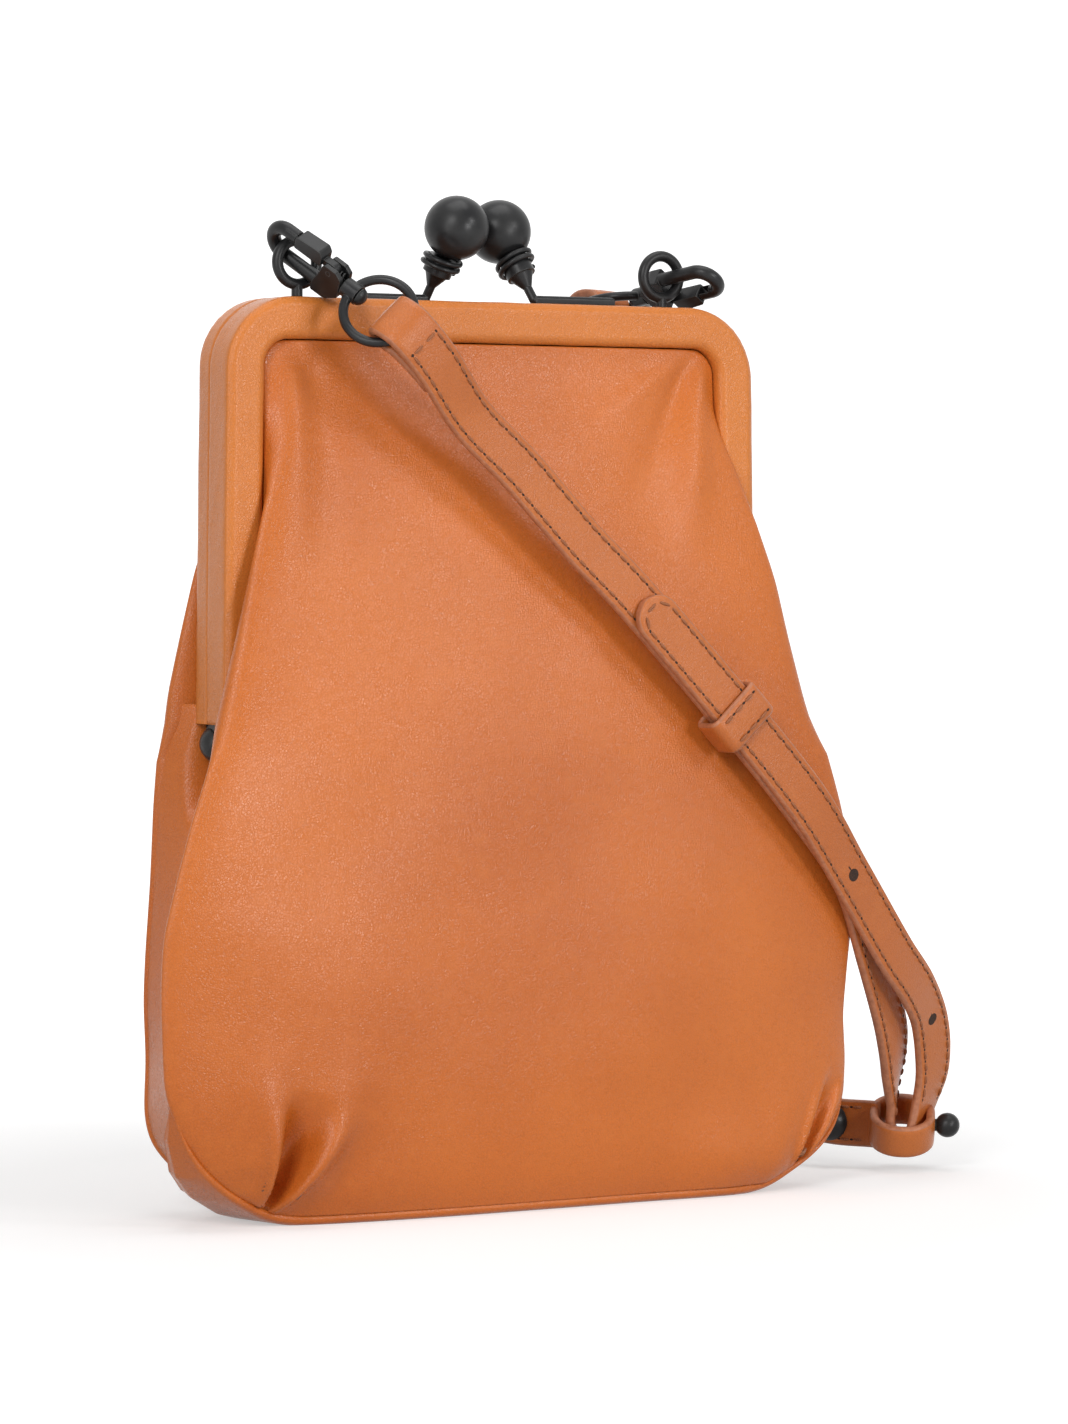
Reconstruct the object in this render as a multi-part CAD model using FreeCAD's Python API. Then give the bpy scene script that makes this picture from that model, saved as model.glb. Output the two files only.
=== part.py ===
import FreeCAD, Part
import math
import os

# Kiss lock frame purse, in millimetres.
# X runs to the wearer's right of the front face, Y to the back, Z up. The origin is the middle of
# the base, on the surface that the purse stands on. The frame halves meet on the plane Y = 0.

V = FreeCAD.Vector
UP = V(0, 0, 1)
ALONG_X = V(1, 0, 0)

# Frame halves
frame_width = 156.2
frame_top = 235.2
front_depth = 11.5
back_depth = 8.0
band_width = 11.0
frame_corner = 17.5
inner_corner = 7.0
arm_flare = 1.5
seam_gap = 0.3
leather = 1.3
edge_round = 3.0
seam_round = 1.0

# Hinge
hinge_height = 121.5
ear_radius = 4.2
ear_thickness = 1.6
ear_gap = 0.4
arm_clearance = 0.8
pin_radius = 1.5
running_clearance = 0.05
rivet_head_radius = 4.0
rivet_head_height = 2.2
rivet_tail_radius = 2.6
rivet_tail_height = 0.8
rivet_play = 0.1

# Kiss lock
ball_radius = 8.4
ball_height = 19.1
ball_gap = 0.4
ball_crossing = 4.0
stem_radius = 1.2
stem_bend = 4.8
foot_length = 24.0
foot_width = 2.8
foot_height = 2.1
foot_round = 0.95
cone_start = 3.6
cone_end = 7.2
cone_top_radius = 3.2
neck_radius = 3.85
neck_play = 0.05
coil_wire = 1.3
coil_radius = 4.75
coil_pitch = 1.75
coil_turns = 2.25
coil_ball_gap = 0.15

# Frame rings
ring_radius = 5.55
ring_wire = 2.9
ring_stub = 1.7
left_ring_x = -56.1
right_ring_x = 58.5

# Swivel snap hooks, along their own axis from the middle of the claw
claw_radius = 4.2
claw_wire = 3.7
nose_length = 3.4
gate_gap = 0.4
gate_width = 4.2
gate_low = 2.6
gate_high = 6.2
gate_shoulder = 12.6
gate_swell = 0.6
gate_bevel = 1.0
tongue_width = 2.0
tongue_radius = 1.8
pivot_height = 15.6
pivot_offset = 2.6
pivot_radius = 0.7
slot_clearance = 0.3
housing_start = 12.8
housing_end = 19.7
housing_width = 5.0
housing_lap = 1.5
spine_round = 3.0
cast_round = 0.8
tip_round = 0.5
spring_wire = 0.4
spring_radius = 0.8
spring_pitch = 0.9
spring_turns = 1.5
post_radius = 1.3
post_head_radius = 2.4
post_head_height = 1.8
boss_radius = 2.6
boss_height = 4.4
boss_play = 0.4
strap_ring_radius = 9.0
strap_ring_wire = 2.5

# Strap
strap_width = 13.0
strap_thickness = 2.4
strap_layer_gap = 0.5
strap_tab = 13.0
tab_sewn = 0.62
keeper_length = 10.3
keeper_thickness = 1.6
keeper_clearance = 0.5
loop_height = 12.0
loop_thickness = 2.0
loop_clearance = 1.1
stud_ball_radius = 3.4
stud_neck_radius = 1.7
stud_neck_length = 4.0
stud_flange_radius = 3.0
stud_flange_height = 0.8
cap_radius = 5.3
cap_height = 3.2
cap_lift = 0.8

# Pouch
base_width = 100.0
base_corner_rise = 35.0
belly_width = 204.0
belly_back_width = 178.0
belly_height = 62.0
shoulder_width = 182.0
shoulder_back_width = 172.0
gather_height = 182.0
base_front = 24.0
base_back = 13.0
belly_front = 33.0
belly_back = 25.0
shoulder_front = 28.5
shoulder_back = 20.0
gather_front = 16.8
gather_back = 12.4
mouth_front = 9.2
mouth_back = 7.6
base_crease_front = 19.0
base_crease_back = 12.0
belly_crease_front = 23.6
belly_crease_back = 18.6
hinge_crease_front = 23.2
hinge_crease_back = 15.6
gather_crease_front = 14.2
gather_crease_back = 10.4
mouth_crease_front = 8.2
mouth_crease_back = 6.4
fullness = 2.3
strip_least = 2.0
strip_lean = 0.35
gusset_tuck = 9.0
panel_thickness = 1.6
panel_gap = 0.4
lining_thickness = 0.7
lining_side_room = 5.0
board_thickness = 1.8
board_margin = 2.0
base_seam = 0.1

# Worked out from the sizes above
half_width = frame_width / 2
foot_x = half_width + arm_flare
inner_x = half_width - band_width
band_bottom = frame_top - band_width
arm_foot = hinge_height + ear_radius + arm_clearance
near_face = seam_gap / 2
split_height = hinge_height - ear_radius - arm_clearance


def depth_of(half):
    """Depth of the front (-1) or back (1) frame half."""
    return front_depth if half < 0 else back_depth


def middle_of(half):
    return half * (near_face + depth_of(half)) / 2


def round_run(points, radii, closed=True):
    """Wire through the points, each corner rounded by its own radius; 0 keeps a corner sharp."""
    count = len(points)
    stops = []
    for i, corner in enumerate(points):
        open_end = not closed and i in (0, count - 1)
        if open_end or radii[i] == 0:
            stops.append((corner, None, corner))
            continue
        to_before = (points[i - 1] - corner).normalize()
        to_after = (points[(i + 1) % count] - corner).normalize()
        half_angle = to_before.getAngle(to_after) / 2
        reach = radii[i] / math.tan(half_angle)
        inward = (to_before + to_after).normalize()
        middle = corner + inward * (radii[i] / math.sin(half_angle) - radii[i])
        stops.append((corner + to_before * reach, middle, corner + to_after * reach))
    edges = []
    for i in range(count):
        enter, middle, leave = stops[i]
        if middle is not None:
            edges.append(Part.Arc(enter, middle, leave).toShape())
        if closed or i < count - 1:
            following = stops[(i + 1) % count][0]
            if (following - leave).Length > 1e-6:
                edges.append(Part.LineSegment(leave, following).toShape())
    return Part.Wire(edges)


def coil(radius, wire, pitch, turns):
    """Wound wire about +Z as one tube on quarter-turn arcs; also gives its least gap to itself."""
    quarters = round(turns * 4)

    def at(turn):
        angle = 2 * math.pi * turn
        return V(radius * math.cos(angle), radius * math.sin(angle), pitch * turn)

    edges = []
    for i in range(quarters):
        edges.append(Part.Arc(at(i / 4), at(i / 4 + 0.125), at(i / 4 + 0.25)).toShape())
    path = Part.Wire(edges)
    start = edges[0].tangentAt(edges[0].FirstParameter)
    section = Part.Wire(Part.makeCircle(wire / 2, at(0), start))
    steps = quarters * 12
    points = [at(i / 48) for i in range(steps + 1)]
    gap = min((points[i] - points[j]).Length for i in range(steps + 1) for j in range(i + 36, steps + 1))
    return path.makePipeShell([section], True, False), gap - wire


def dome(radius, height):
    """Low domed head about +Z, flat side at Z = 0."""
    sphere = (radius ** 2 + height ** 2) / (2 * height)
    lean = math.asin(radius / sphere) / 2
    middle = V(sphere * math.sin(lean), 0, height - sphere + sphere * math.cos(lean))
    edges = [Part.LineSegment(V(0, 0, 0), V(radius, 0, 0)).toShape(),
             Part.Arc(V(radius, 0, 0), middle, V(0, 0, height)).toShape(),
             Part.LineSegment(V(0, 0, height), V(0, 0, 0)).toShape()]
    return Part.Face(Part.Wire(edges)).revolve(V(0, 0, 0), UP, 360)


def placed(shape, base, direction):
    """The shape with its +Z turned to a direction and its origin at base."""
    turned = shape.copy()
    turned.Placement = FreeCAD.Placement(base, FreeCAD.Rotation(UP, direction))
    return turned


def box_between(low, high):
    size = high - low
    return Part.makeBox(size.x, size.y, size.z, low)


def save(name, *solids):
    shape = solids[0] if len(solids) == 1 else Part.makeCompound(list(solids))
    shape.exportStep("parts/" + name + ".step")


# Frame halves: a metal bar bent to a U, with hinge ears at its ends, and its leather wrap

def frame_bar(half, inset, foot):
    """U-shaped bar of one half (-1 front, 1 back), drawn in by inset on every side."""
    outer, inner = half_width - inset, inner_x + inset
    top, under = frame_top - inset, band_bottom + inset
    outline = [V(-outer - arm_flare, 0, foot), V(-outer, 0, top), V(outer, 0, top),
               V(outer + arm_flare, 0, foot), V(inner + arm_flare, 0, foot), V(inner, 0, under),
               V(-inner, 0, under), V(-inner - arm_flare, 0, foot)]
    turn, inner_turn = frame_corner - inset, inner_corner + inset
    wire = round_run(outline, [0, turn, turn, 0, 0, inner_turn, inner_turn, 0])
    near, far = half * (near_face + inset), half * (depth_of(half) - inset)
    bar = Part.Face(wire).extrude(V(0, far - near, 0))
    bar.translate(V(0, near, 0))
    return bar


def rounded_wrap(half):
    """Outer form of the leather, its long edges rounded."""
    form = frame_bar(half, 0, arm_foot)

    def edges_at(depth):
        return [e for e in form.Edges
                if all(abs(v.Y - half * depth) < 1e-4 for v in e.Vertexes)
                and not all(abs(v.Z - arm_foot) < 1e-4 for v in e.Vertexes)]

    form = form.makeFillet(edge_round, edges_at(depth_of(half)))
    return form.makeFillet(seam_round, edges_at(near_face))


def hinge_ear(half, side):
    """Flat ear from the arm's end to the hinge axis; the front half's ears lie outside."""
    outer = foot_x - leather
    if half > 0:
        outer -= ear_thickness + ear_gap
    start = outer - ear_thickness if side > 0 else -outer
    axis = V(start, 0, hinge_height)
    lap = arm_foot + leather
    near, far = near_face + leather + seam_gap, depth_of(half) - leather
    toward = (V(start, middle_of(half), arm_foot) - axis).normalize()
    across = toward.cross(ALONG_X) * ear_radius
    rim = [axis + across, axis - across]
    if rim[0].y * half > rim[1].y * half:
        rim.reverse()
    outline = [V(start, half * near, lap), V(start, half * far, lap), rim[1], rim[0]]
    neck = Part.Face(Part.makePolygon(outline + outline[:1])).extrude(ALONG_X * ear_thickness)
    disc = Part.makeCylinder(ear_radius, ear_thickness, axis, ALONG_X)
    hole = Part.makeCylinder(pin_radius + running_clearance, ear_thickness, axis, ALONG_X)
    return neck.fuse(disc).cut(hole)


def hinge_rivet(side):
    """Domed rivet through both ears of one side."""
    inner = foot_x - leather - 2 * ear_thickness - ear_gap - rivet_play
    outer = foot_x - leather + rivet_play
    facing = ALONG_X * side
    foot = V(side * inner, 0, hinge_height)
    shank = Part.makeCylinder(pin_radius, outer - inner, foot, facing)
    head = placed(dome(rivet_head_radius, rivet_head_height), V(side * outer, 0, hinge_height), facing)
    tail = Part.makeCylinder(rivet_tail_radius, rivet_tail_height, foot, facing * -1)
    return shank.fuse([head, tail]).removeSplitter()


# Kiss lock: each stem leans across the seam, so that the balls pass each other and lock

def kiss_lock(half):
    """Stem, wound collar and ball of one half; the front half's ball stands to the right."""
    side = -half
    ball_x = side * (ball_radius + ball_gap / 2)
    bend = V(ball_x + side * stem_bend, middle_of(half), frame_top + foot_height / 2)
    ball_middle = V(ball_x, -half * ball_crossing, frame_top + ball_height)
    lean = (ball_middle - bend).normalize()
    reach = (ball_middle - bend).Length
    foot_ends = sorted([bend.x, bend.x + side * foot_length])
    foot_low = V(foot_ends[0], bend.y - foot_width / 2, frame_top)
    foot_high = V(foot_ends[1], bend.y + foot_width / 2, frame_top + foot_height)
    foot = box_between(foot_low, foot_high)
    top_edges = [e for e in foot.Edges if all(abs(v.Z - foot_high.z) < 1e-4 for v in e.Vertexes)]
    foot = foot.makeFillet(foot_round, top_edges)
    room = V(foot_length, foot_length, 0)
    ground = V(bend.x, bend.y, frame_top)
    above = box_between(ground - room, ground + UP * foot_length + room)
    knee = Part.makeSphere(stem_radius, bend).common(above)
    stem = Part.makeCylinder(stem_radius, cone_start + stem_radius, bend, lean)
    cone = Part.makeCone(stem_radius, cone_top_radius, cone_end - cone_start, bend + lean * cone_start, lean)
    neck_top = reach - ball_radius - neck_play
    neck = Part.makeCylinder(neck_radius, neck_top - cone_end, bend + lean * cone_end, lean)
    stem = foot.fuse([knee, stem.common(above), cone, neck]).removeSplitter()
    winding, gap = coil(coil_radius, coil_wire, coil_pitch, coil_turns)
    print("kiss lock collar, least gap between turns:", round(gap, 2))
    seat = ball_radius + coil_wire / 2 + coil_ball_gap
    coil_top = reach - math.sqrt(seat ** 2 - coil_radius ** 2)
    collar = placed(winding, bend + lean * (coil_top - coil_pitch * coil_turns), lean)
    ball = Part.makeSphere(ball_radius, ball_middle)
    return stem, collar, ball


def ring_middle(x, half):
    return V(x, middle_of(half), frame_top + ring_stub + ring_radius + ring_wire / 2)


def frame_ring(x, half):
    """Round ring standing on the frame top on a short stub."""
    middle = ring_middle(x, half)
    ring = Part.makeTorus(ring_radius, ring_wire / 2, middle, V(0, 1, 0))
    stub = Part.makeCylinder(ring_wire / 2, ring_stub + ring_wire / 2, V(x, middle.y, frame_top), UP)
    return ring.fuse(stub)


# Swivel snap hooks, drawn along their own +Z with the gate on their +Y side

def hook_body():
    """Claw and spine bar, and the housing that carries the gate."""
    spine = [V(0, -claw_radius, housing_start + housing_lap), V(0, -claw_radius, 0)]
    nose = [V(0, claw_radius, 0), V(0, claw_radius, nose_length)]
    path = Part.Wire([Part.LineSegment(*spine).toShape(),
                      Part.Arc(spine[1], V(0, 0, -claw_radius), nose[0]).toShape(),
                      Part.LineSegment(*nose).toShape()])
    section = Part.Wire(Part.makeCircle(claw_wire / 2, spine[0], V(0, 0, -1)))
    claw = path.makePipeShell([section], True, False)
    back, front = -claw_radius - claw_wire / 2, pivot_offset + tongue_radius
    taper = boss_radius + boss_play
    side = [V(0, back, housing_start - housing_lap), V(0, back, housing_start + spine_round),
            V(0, -taper, housing_end), V(0, taper, housing_end), V(0, front, housing_end - tongue_radius),
            V(0, front, pivot_height - tongue_radius), V(0, pivot_offset - tongue_radius, housing_start),
            V(0, tongue_width / 2 - claw_radius, housing_start - housing_lap)]
    rounds = [tip_round, spine_round] + [cast_round] * 5 + [tip_round]
    housing = Part.Face(round_run(side, rounds)).extrude(V(housing_width, 0, 0))
    housing.translate(V(-housing_width / 2, 0, 0))
    slot_half = tongue_width / 2 + slot_clearance
    slot_floor = pivot_offset - tongue_radius - slot_clearance
    slot = box_between(V(-slot_half, slot_floor, 0), V(slot_half, front + 1, spring_end + spring_wire))
    return claw.fuse(housing).cut(slot).cut(gate_pin())


def gate_pin():
    """Cross pin through the housing."""
    start = V(-housing_width / 2, pivot_offset, pivot_height)
    return Part.makeCylinder(pivot_radius, housing_width, start, ALONG_X)


def hook_gate():
    """Thumb block that closes the claw, with a tongue on the pivot pin."""
    start = nose_length + gate_gap
    side = [V(0, gate_low, start), V(0, gate_high, start),
            V(0, gate_high + gate_swell, gate_shoulder - gate_bevel),
            V(0, gate_high - cast_round, gate_shoulder), V(0, gate_low, gate_shoulder)]
    rounds = [tip_round, cast_round, cast_round, tip_round, tip_round]
    block = Part.Face(round_run(side, rounds)).extrude(V(gate_width, 0, 0))
    block.translate(V(-gate_width / 2, 0, 0))
    arm = box_between(V(-tongue_width / 2, gate_low, gate_shoulder - gate_bevel),
                      V(tongue_width / 2, pivot_offset + tongue_radius, pivot_height))
    root = V(-tongue_width / 2, pivot_offset, pivot_height)
    eye = Part.makeCylinder(tongue_radius, tongue_width, root, ALONG_X)
    hole = Part.makeCylinder(pivot_radius + running_clearance, tongue_width, root, ALONG_X)
    return block.fuse([arm, eye]).removeSplitter().cut(hole)


def gate_spring():
    winding, gap = coil(spring_radius, spring_wire, spring_pitch, spring_turns)
    print("gate spring, least gap between turns:", round(gap, 2))
    winding.translate(V(0, pivot_offset, spring_start))
    return winding


def swivel_post():
    """Headed post from the housing through the strap ring's boss."""
    head_start = housing_end + 2 * boss_play + boss_height
    post = Part.makeCylinder(post_radius, head_start - housing_end, V(0, 0, housing_end), UP)
    head = placed(dome(post_head_radius, post_head_height), V(0, 0, head_start), UP)
    return post.fuse(head)


def strap_ring():
    """Round ring in the XZ plane with the swivel's boss on its near side."""
    boss_start = housing_end + boss_play
    ring = Part.makeTorus(strap_ring_radius, strap_ring_wire / 2, V(0, 0, ring_reach), V(0, 1, 0))
    boss = Part.makeCylinder(boss_radius, boss_height, V(0, 0, boss_start), UP)
    hole = Part.makeCylinder(post_radius + running_clearance, boss_height, V(0, 0, boss_start), UP)
    inside = Part.makeCylinder(post_head_radius + slot_clearance, post_head_height + 2 * boss_play,
                               V(0, 0, boss_start + boss_height), UP)
    return ring.cut(inside).fuse(boss).cut(hole)


spring_start = pivot_height + tongue_radius + spring_wire
spring_end = spring_start + spring_pitch * spring_turns + spring_wire / 2
ring_reach = housing_end + boss_play + boss_height / 2 + strap_ring_radius


def hook_place(middle, way, across):
    """Placement that turns +Z along way and +X to across, with the claw's middle at a point."""
    w = V(way).normalize()
    u = across - w * across.dot(w)
    u.normalize()
    v = w.cross(u)
    return FreeCAD.Placement(FreeCAD.Matrix(u.x, v.x, w.x, middle.x, u.y, v.y, w.y, middle.y,
                                            u.z, v.z, w.z, middle.z, 0, 0, 0, 1))


def hook(name, middle, way, gate_side, ring_across):
    """Save one hook by the middle of its claw; gives the place of the strap ring's far wire."""
    place = hook_place(middle, way, gate_side.cross(way))
    ring_place = hook_place(middle, way, ring_across)
    pieces = (("body", hook_body(), place), ("gate", hook_gate(), place), ("gate_pin", gate_pin(), place),
              ("gate_spring", gate_spring(), place), ("swivel_post", swivel_post(), place),
              ("strap_ring", strap_ring(), ring_place))
    for piece, shape, where in pieces:
        shape.Placement = where.multiply(shape.Placement)
        save(name + "_hook_" + piece, shape)
    pivot = place.multVec(V(0, pivot_offset, pivot_height))
    turn = place.Rotation.multVec(ALONG_X)
    print(name, "hook: axis", V(way).normalize(), "gate pivot", pivot, "gate axis", turn)
    return ring_place.multVec(V(0, 0, ring_reach + strap_ring_radius))


# Straps: flat leather ribbons through stations, each a point and the way its face looks

def ribbon(stations, width, thickness):
    """Ribbon through the stations, ruled from each one to the next."""
    sections = []
    for i, (point, face) in enumerate(stations):
        before = stations[max(i - 1, 0)][0]
        after = stations[min(i + 1, len(stations) - 1)][0]
        along = (after - before).normalize()
        across = face.cross(along).normalize()
        out = along.cross(across).normalize() * (thickness / 2)
        side = across * (width / 2)
        corners = [point + out + side, point + out - side, point - out - side, point - out + side]
        sections.append(Part.makePolygon(corners + corners[:1]))
    spans = [Part.makeLoft(sections[i:i + 2], True, True) for i in range(len(sections) - 1)]
    return spans[0].fuse(spans[1:])


def ring_fold(wire_middle, ring_way, along, across):
    """Stations of a strap end that comes up behind a ring's wire, over it and down in front."""
    w, s = V(ring_way).normalize(), V(along).normalize()
    over, f = w.cross(across).normalize(), s.cross(across).normalize()
    radius = strap_ring_wire / 2 + strap_layer_gap + strap_thickness / 2
    lap = (strap_thickness + strap_layer_gap) / 2
    sag = strap_ring_radius - math.sqrt(strap_ring_radius ** 2 - strap_width ** 2 / 4) + panel_gap
    bend, past_wire = wire_middle - w * sag, wire_middle + w * (strap_ring_wire / 2)
    sewn = past_wire + w * lap + s * (strap_tab * tab_sewn)
    tail = past_wire + w * lap + s * strap_tab
    stations = [(tail - f * lap, f * -1), (sewn - f * lap, f * -1), (past_wire - over * radius, over * -1)]
    for step in range(5):
        angle = math.radians(-90 + 45 * step)
        way = over * math.sin(angle) - w * math.cos(angle)
        stations.append((bend + way * radius, way))
    return stations + [(past_wire + over * radius, over), (sewn + f * lap, f)]


def band(middle, along, face, length, inner_width, inner_depth, thickness):
    """Flat leather loop about a strap: a rounded rectangle tube."""
    a = V(along).normalize()
    f = face - a * face.dot(a)
    f.normalize()
    s = a.cross(f)
    start = middle - a * (length / 2)

    def outline(half_wide, half_deep, turn):
        corners = [start + s * half_wide + f * half_deep, start - s * half_wide + f * half_deep,
                   start - s * half_wide - f * half_deep, start + s * half_wide - f * half_deep]
        return Part.Face(round_run(corners, [turn] * 4)).extrude(a * length)

    outer = outline(inner_width / 2 + thickness, inner_depth / 2 + thickness, thickness + panel_gap)
    return outer.cut(outline(inner_width / 2, inner_depth / 2, panel_gap))


# Hand-chosen routes: the long strap falls across the front, the short one behind the back

def spot(across, back, high):
    """Place by shares of the pouch's half width, its belly depth and the frame's height."""
    return V(across * belly_width / 2, back * belly_front, high * frame_top)


front_face = V(0, -1, 0)
back_face = V(0, 1, 0)
loop_face = V(0.82, -0.57, 0).normalize()
loop_middle = spot(1.3137, -0.0485, 0.0531)
left_hook_middle = ring_middle(left_ring_x, -1) + V(-0.5694, -0.0640, 0.8919) * ring_radius
left_hook_way = V(0.5005, -0.6502, -0.5715)
left_gate_side = V(-0.203, -0.730, 0.653)
left_ring_across = V(0.713, -0.065, 0.698)
right_hook_middle = ring_middle(right_ring_x, 1) + V(1.3695, -1.6155, -0.2636) * ring_radius
right_hook_way = V(-0.2620, 0.9551, -0.1381)
right_gate_side = V(0.8142, 0.1419, -0.5629)
right_ring_across = V(-1, 0, 0)
left_fall = V(0.70, 0.05, -0.71)
right_fall = V(0, 0.6, -0.8)
keeper_top = spot(0.2882, -0.9739, 0.6698)
keeper_foot = spot(0.7853, -0.9818, 0.4429)
keeper_place = 0.57
layer_step = front_face * (strap_thickness + strap_layer_gap)

upper_route = [(spot(-0.1902, -0.9439, 0.8682), front_face),
               (spot(-0.0480, -0.9345, 0.8131), front_face),
               (spot(0.1265, -0.9470, 0.7359), front_face), (keeper_top, front_face),
               (keeper_foot, front_face)]
inner_route = [(spot(0.9627, -0.8485, 0.3560), V(0.22, -1, 0)),
               (spot(1.0819, -0.6342, 0.2637), V(0.3, -1, 0)),
               (spot(1.2020, -0.3030, 0.1637), V(0.45, -1, 0)),
               (spot(1.2412, -0.1394, 0.1233), V(0.7, -0.9, 0)),
               (spot(1.2765, 0.0061, 0.0829), loop_face), (spot(1.2833, 0.0242, 0.0468), loop_face)]
fold_route = [(spot(1.3098, -0.0364, 0.0230), UP)]
outer_route = [(spot(1.3373, -0.1030, 0.0468), loop_face * -1),
               (spot(1.3471, -0.1212, 0.0829), loop_face * -1),
               (spot(1.3500, -0.1879, 0.1105), V(-0.6, 0.85, 0)),
               (spot(1.3373, -0.2667, 0.1403), V(-0.4, 1, 0)),
               (spot(1.3059, -0.4091, 0.1807), V(-0.3, 1, 0)),
               (spot(1.1387, -0.7827, 0.2594), V(-0.3, 1, 0)),
               (spot(0.9686, -0.9424, 0.3594), V(-0.22, 1, 0)), (keeper_foot + layer_step, back_face),
               (keeper_top + layer_step, back_face)]
short_route = [(spot(0.5431, 1.4242, 0.9439), V(0, 1, 0.3)), (spot(0.5569, 1.4545, 0.8929), back_face),
               (spot(0.5833, 1.3485, 0.7993), back_face), (spot(0.6127, 1.1667, 0.6590), back_face),
               (spot(0.6500, 1.0000, 0.5187), back_face), (spot(0.6961, 0.9091, 0.3912), back_face),
               (spot(0.7647, 0.8939, 0.2764), back_face), (spot(0.8676, 0.8939, 0.1743), back_face),
               (spot(0.9902, 0.8485, 0.1020), V(0.2, 1, 0)),
               (spot(1.0980, 0.7121, 0.0659), V(0.5, 1, 0)),
               (spot(1.1814, 0.4394, 0.0544), V(1, 0.75, 0)),
               (spot(1.2441, 0.1394, 0.0531), V(1, 0.62, 0))]


def straps(left_wire, right_wire):
    long_start = ring_fold(left_wire, left_hook_way, left_fall, left_ring_across)
    long_route = long_start + upper_route + inner_route + fold_route + outer_route
    short_start = ring_fold(right_wire, right_hook_way, right_fall, right_ring_across)
    for name, route in (("long_strap", long_route), ("short_strap", short_start + short_route)):
        save(name, ribbon(route, strap_width, strap_thickness))
        points = [point for point, face in route]
        length = sum((points[i + 1] - points[i]).Length for i in range(len(points) - 1))
        print(name, "length:", round(length))

    along = keeper_foot - keeper_top
    both_layers = 2 * strap_thickness + strap_layer_gap
    keeper_middle = keeper_top + along * keeper_place + layer_step / 2
    keeper_room = 2 * keeper_clearance
    save("strap_keeper", band(keeper_middle, along, front_face, keeper_length, strap_width + keeper_room,
                              both_layers + keeper_room, keeper_thickness))
    print("keeper: middle", keeper_middle, "along", V(along).normalize())

    fold_depth = (outer_route[0][0] - inner_route[-1][0]).Length + strap_thickness
    save("strap_loop", band(loop_middle, UP, loop_face, loop_height, strap_width + 2 * loop_clearance,
                            fold_depth + 2 * loop_clearance, loop_thickness))

    stud_base = loop_middle + loop_face * (fold_depth / 2 + loop_clearance + loop_thickness)
    flange = placed(dome(stud_flange_radius, stud_flange_height), stud_base, loop_face)
    neck = Part.makeCylinder(stud_neck_radius, stud_neck_length, stud_base, loop_face)
    ball = Part.makeSphere(stud_ball_radius, stud_base + loop_face * stud_neck_length)
    save("strap_stud", flange.fuse([neck, ball]).removeSplitter())

    cap_point, cap_face = short_route[-2]
    cap_way = V(cap_face).normalize() * -1
    cap_base = cap_point + cap_way * (strap_thickness / 2 + cap_lift)
    cap = placed(dome(cap_radius, cap_height), cap_base, cap_way)
    save("short_strap_rivet", cap)


# Pouch: thin walls lofted between outlines at several heights

def ease(low, high, t):
    """Smooth step between two sizes."""
    t = min(max(t, 0), 1)
    return low + (high - low) * t * t * (3 - 2 * t)


def swell(low, high, t):
    """Quarter-round rise between two sizes."""
    t = min(max(t, 0), 1)
    return low + (high - low) * math.sqrt(1 - (1 - t) ** 2)


def wall_width(z, half):
    """Half the width of the front (-1) or back (1) wall: round base corners, then in towards the frame."""
    belly, shoulder = (belly_width, shoulder_width) if half < 0 else (belly_back_width, shoulder_back_width)
    if z < belly_height:
        return swell(base_width / 2, belly / 2, z / base_corner_rise)
    if z < hinge_height:
        return ease(belly, shoulder, (z - belly_height) / (hinge_height - belly_height)) / 2
    flare = arm_flare * (frame_top - z) / (frame_top - arm_foot)
    gathered = inner_x + flare - 2 * panel_gap
    if z < gather_height:
        return shoulder / 2 + (gathered - shoulder / 2) * (z - hinge_height) / (gather_height - hinge_height)
    top_turn = max(z - (band_bottom - inner_corner), 0) / inner_corner
    return gathered - (inner_corner - 1) * top_turn ** 2


def at_height(z, base, belly, shoulder, gather, mouth):
    """A depth at a height, from those at the base, the belly, the hinge, the gathers and the mouth."""
    if z < belly_height:
        return swell(base, belly, z / belly_height)
    if z < hinge_height:
        return ease(belly, shoulder, (z - belly_height) / (hinge_height - belly_height))
    if z < gather_height:
        return shoulder + (gather - shoulder) * (z - hinge_height) / (gather_height - hinge_height)
    return ease(gather, mouth, (z - gather_height) / (band_bottom - gather_height))


def wall_depth(z, half):
    """Depth of a wall in its middle."""
    if half < 0:
        return at_height(z, base_front, belly_front, shoulder_front, gather_front, mouth_front)
    return at_height(z, base_back, belly_back, shoulder_back, gather_back, mouth_back)


def crease(z, half):
    """Depth of the creases where a wall turns into the sides."""
    if half < 0:
        return at_height(z, base_crease_front, belly_crease_front, hinge_crease_front,
                         gather_crease_front, mouth_crease_front)
    return at_height(z, base_crease_back, belly_crease_back, hinge_crease_back,
                     gather_crease_back, mouth_crease_back)


def swelled(half, wide, edge, deep, z, way=1):
    """Curve of a wall at one height, flat in the middle and rounder near the creases."""
    points = []
    for share in (-1, -0.85, -0.5, 0, 0.5, 0.85, 1):
        rise = 1 - abs(share) ** fullness
        points.append(V(way * share * wide, half * (edge + (deep - edge) * rise), z))
    curve = Part.BSplineCurve()
    curve.interpolate(points)
    return curve.toShape()


def lines(*points):
    return [Part.LineSegment(points[i], points[i + 1]).toShape() for i in range(len(points) - 1)]


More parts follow.
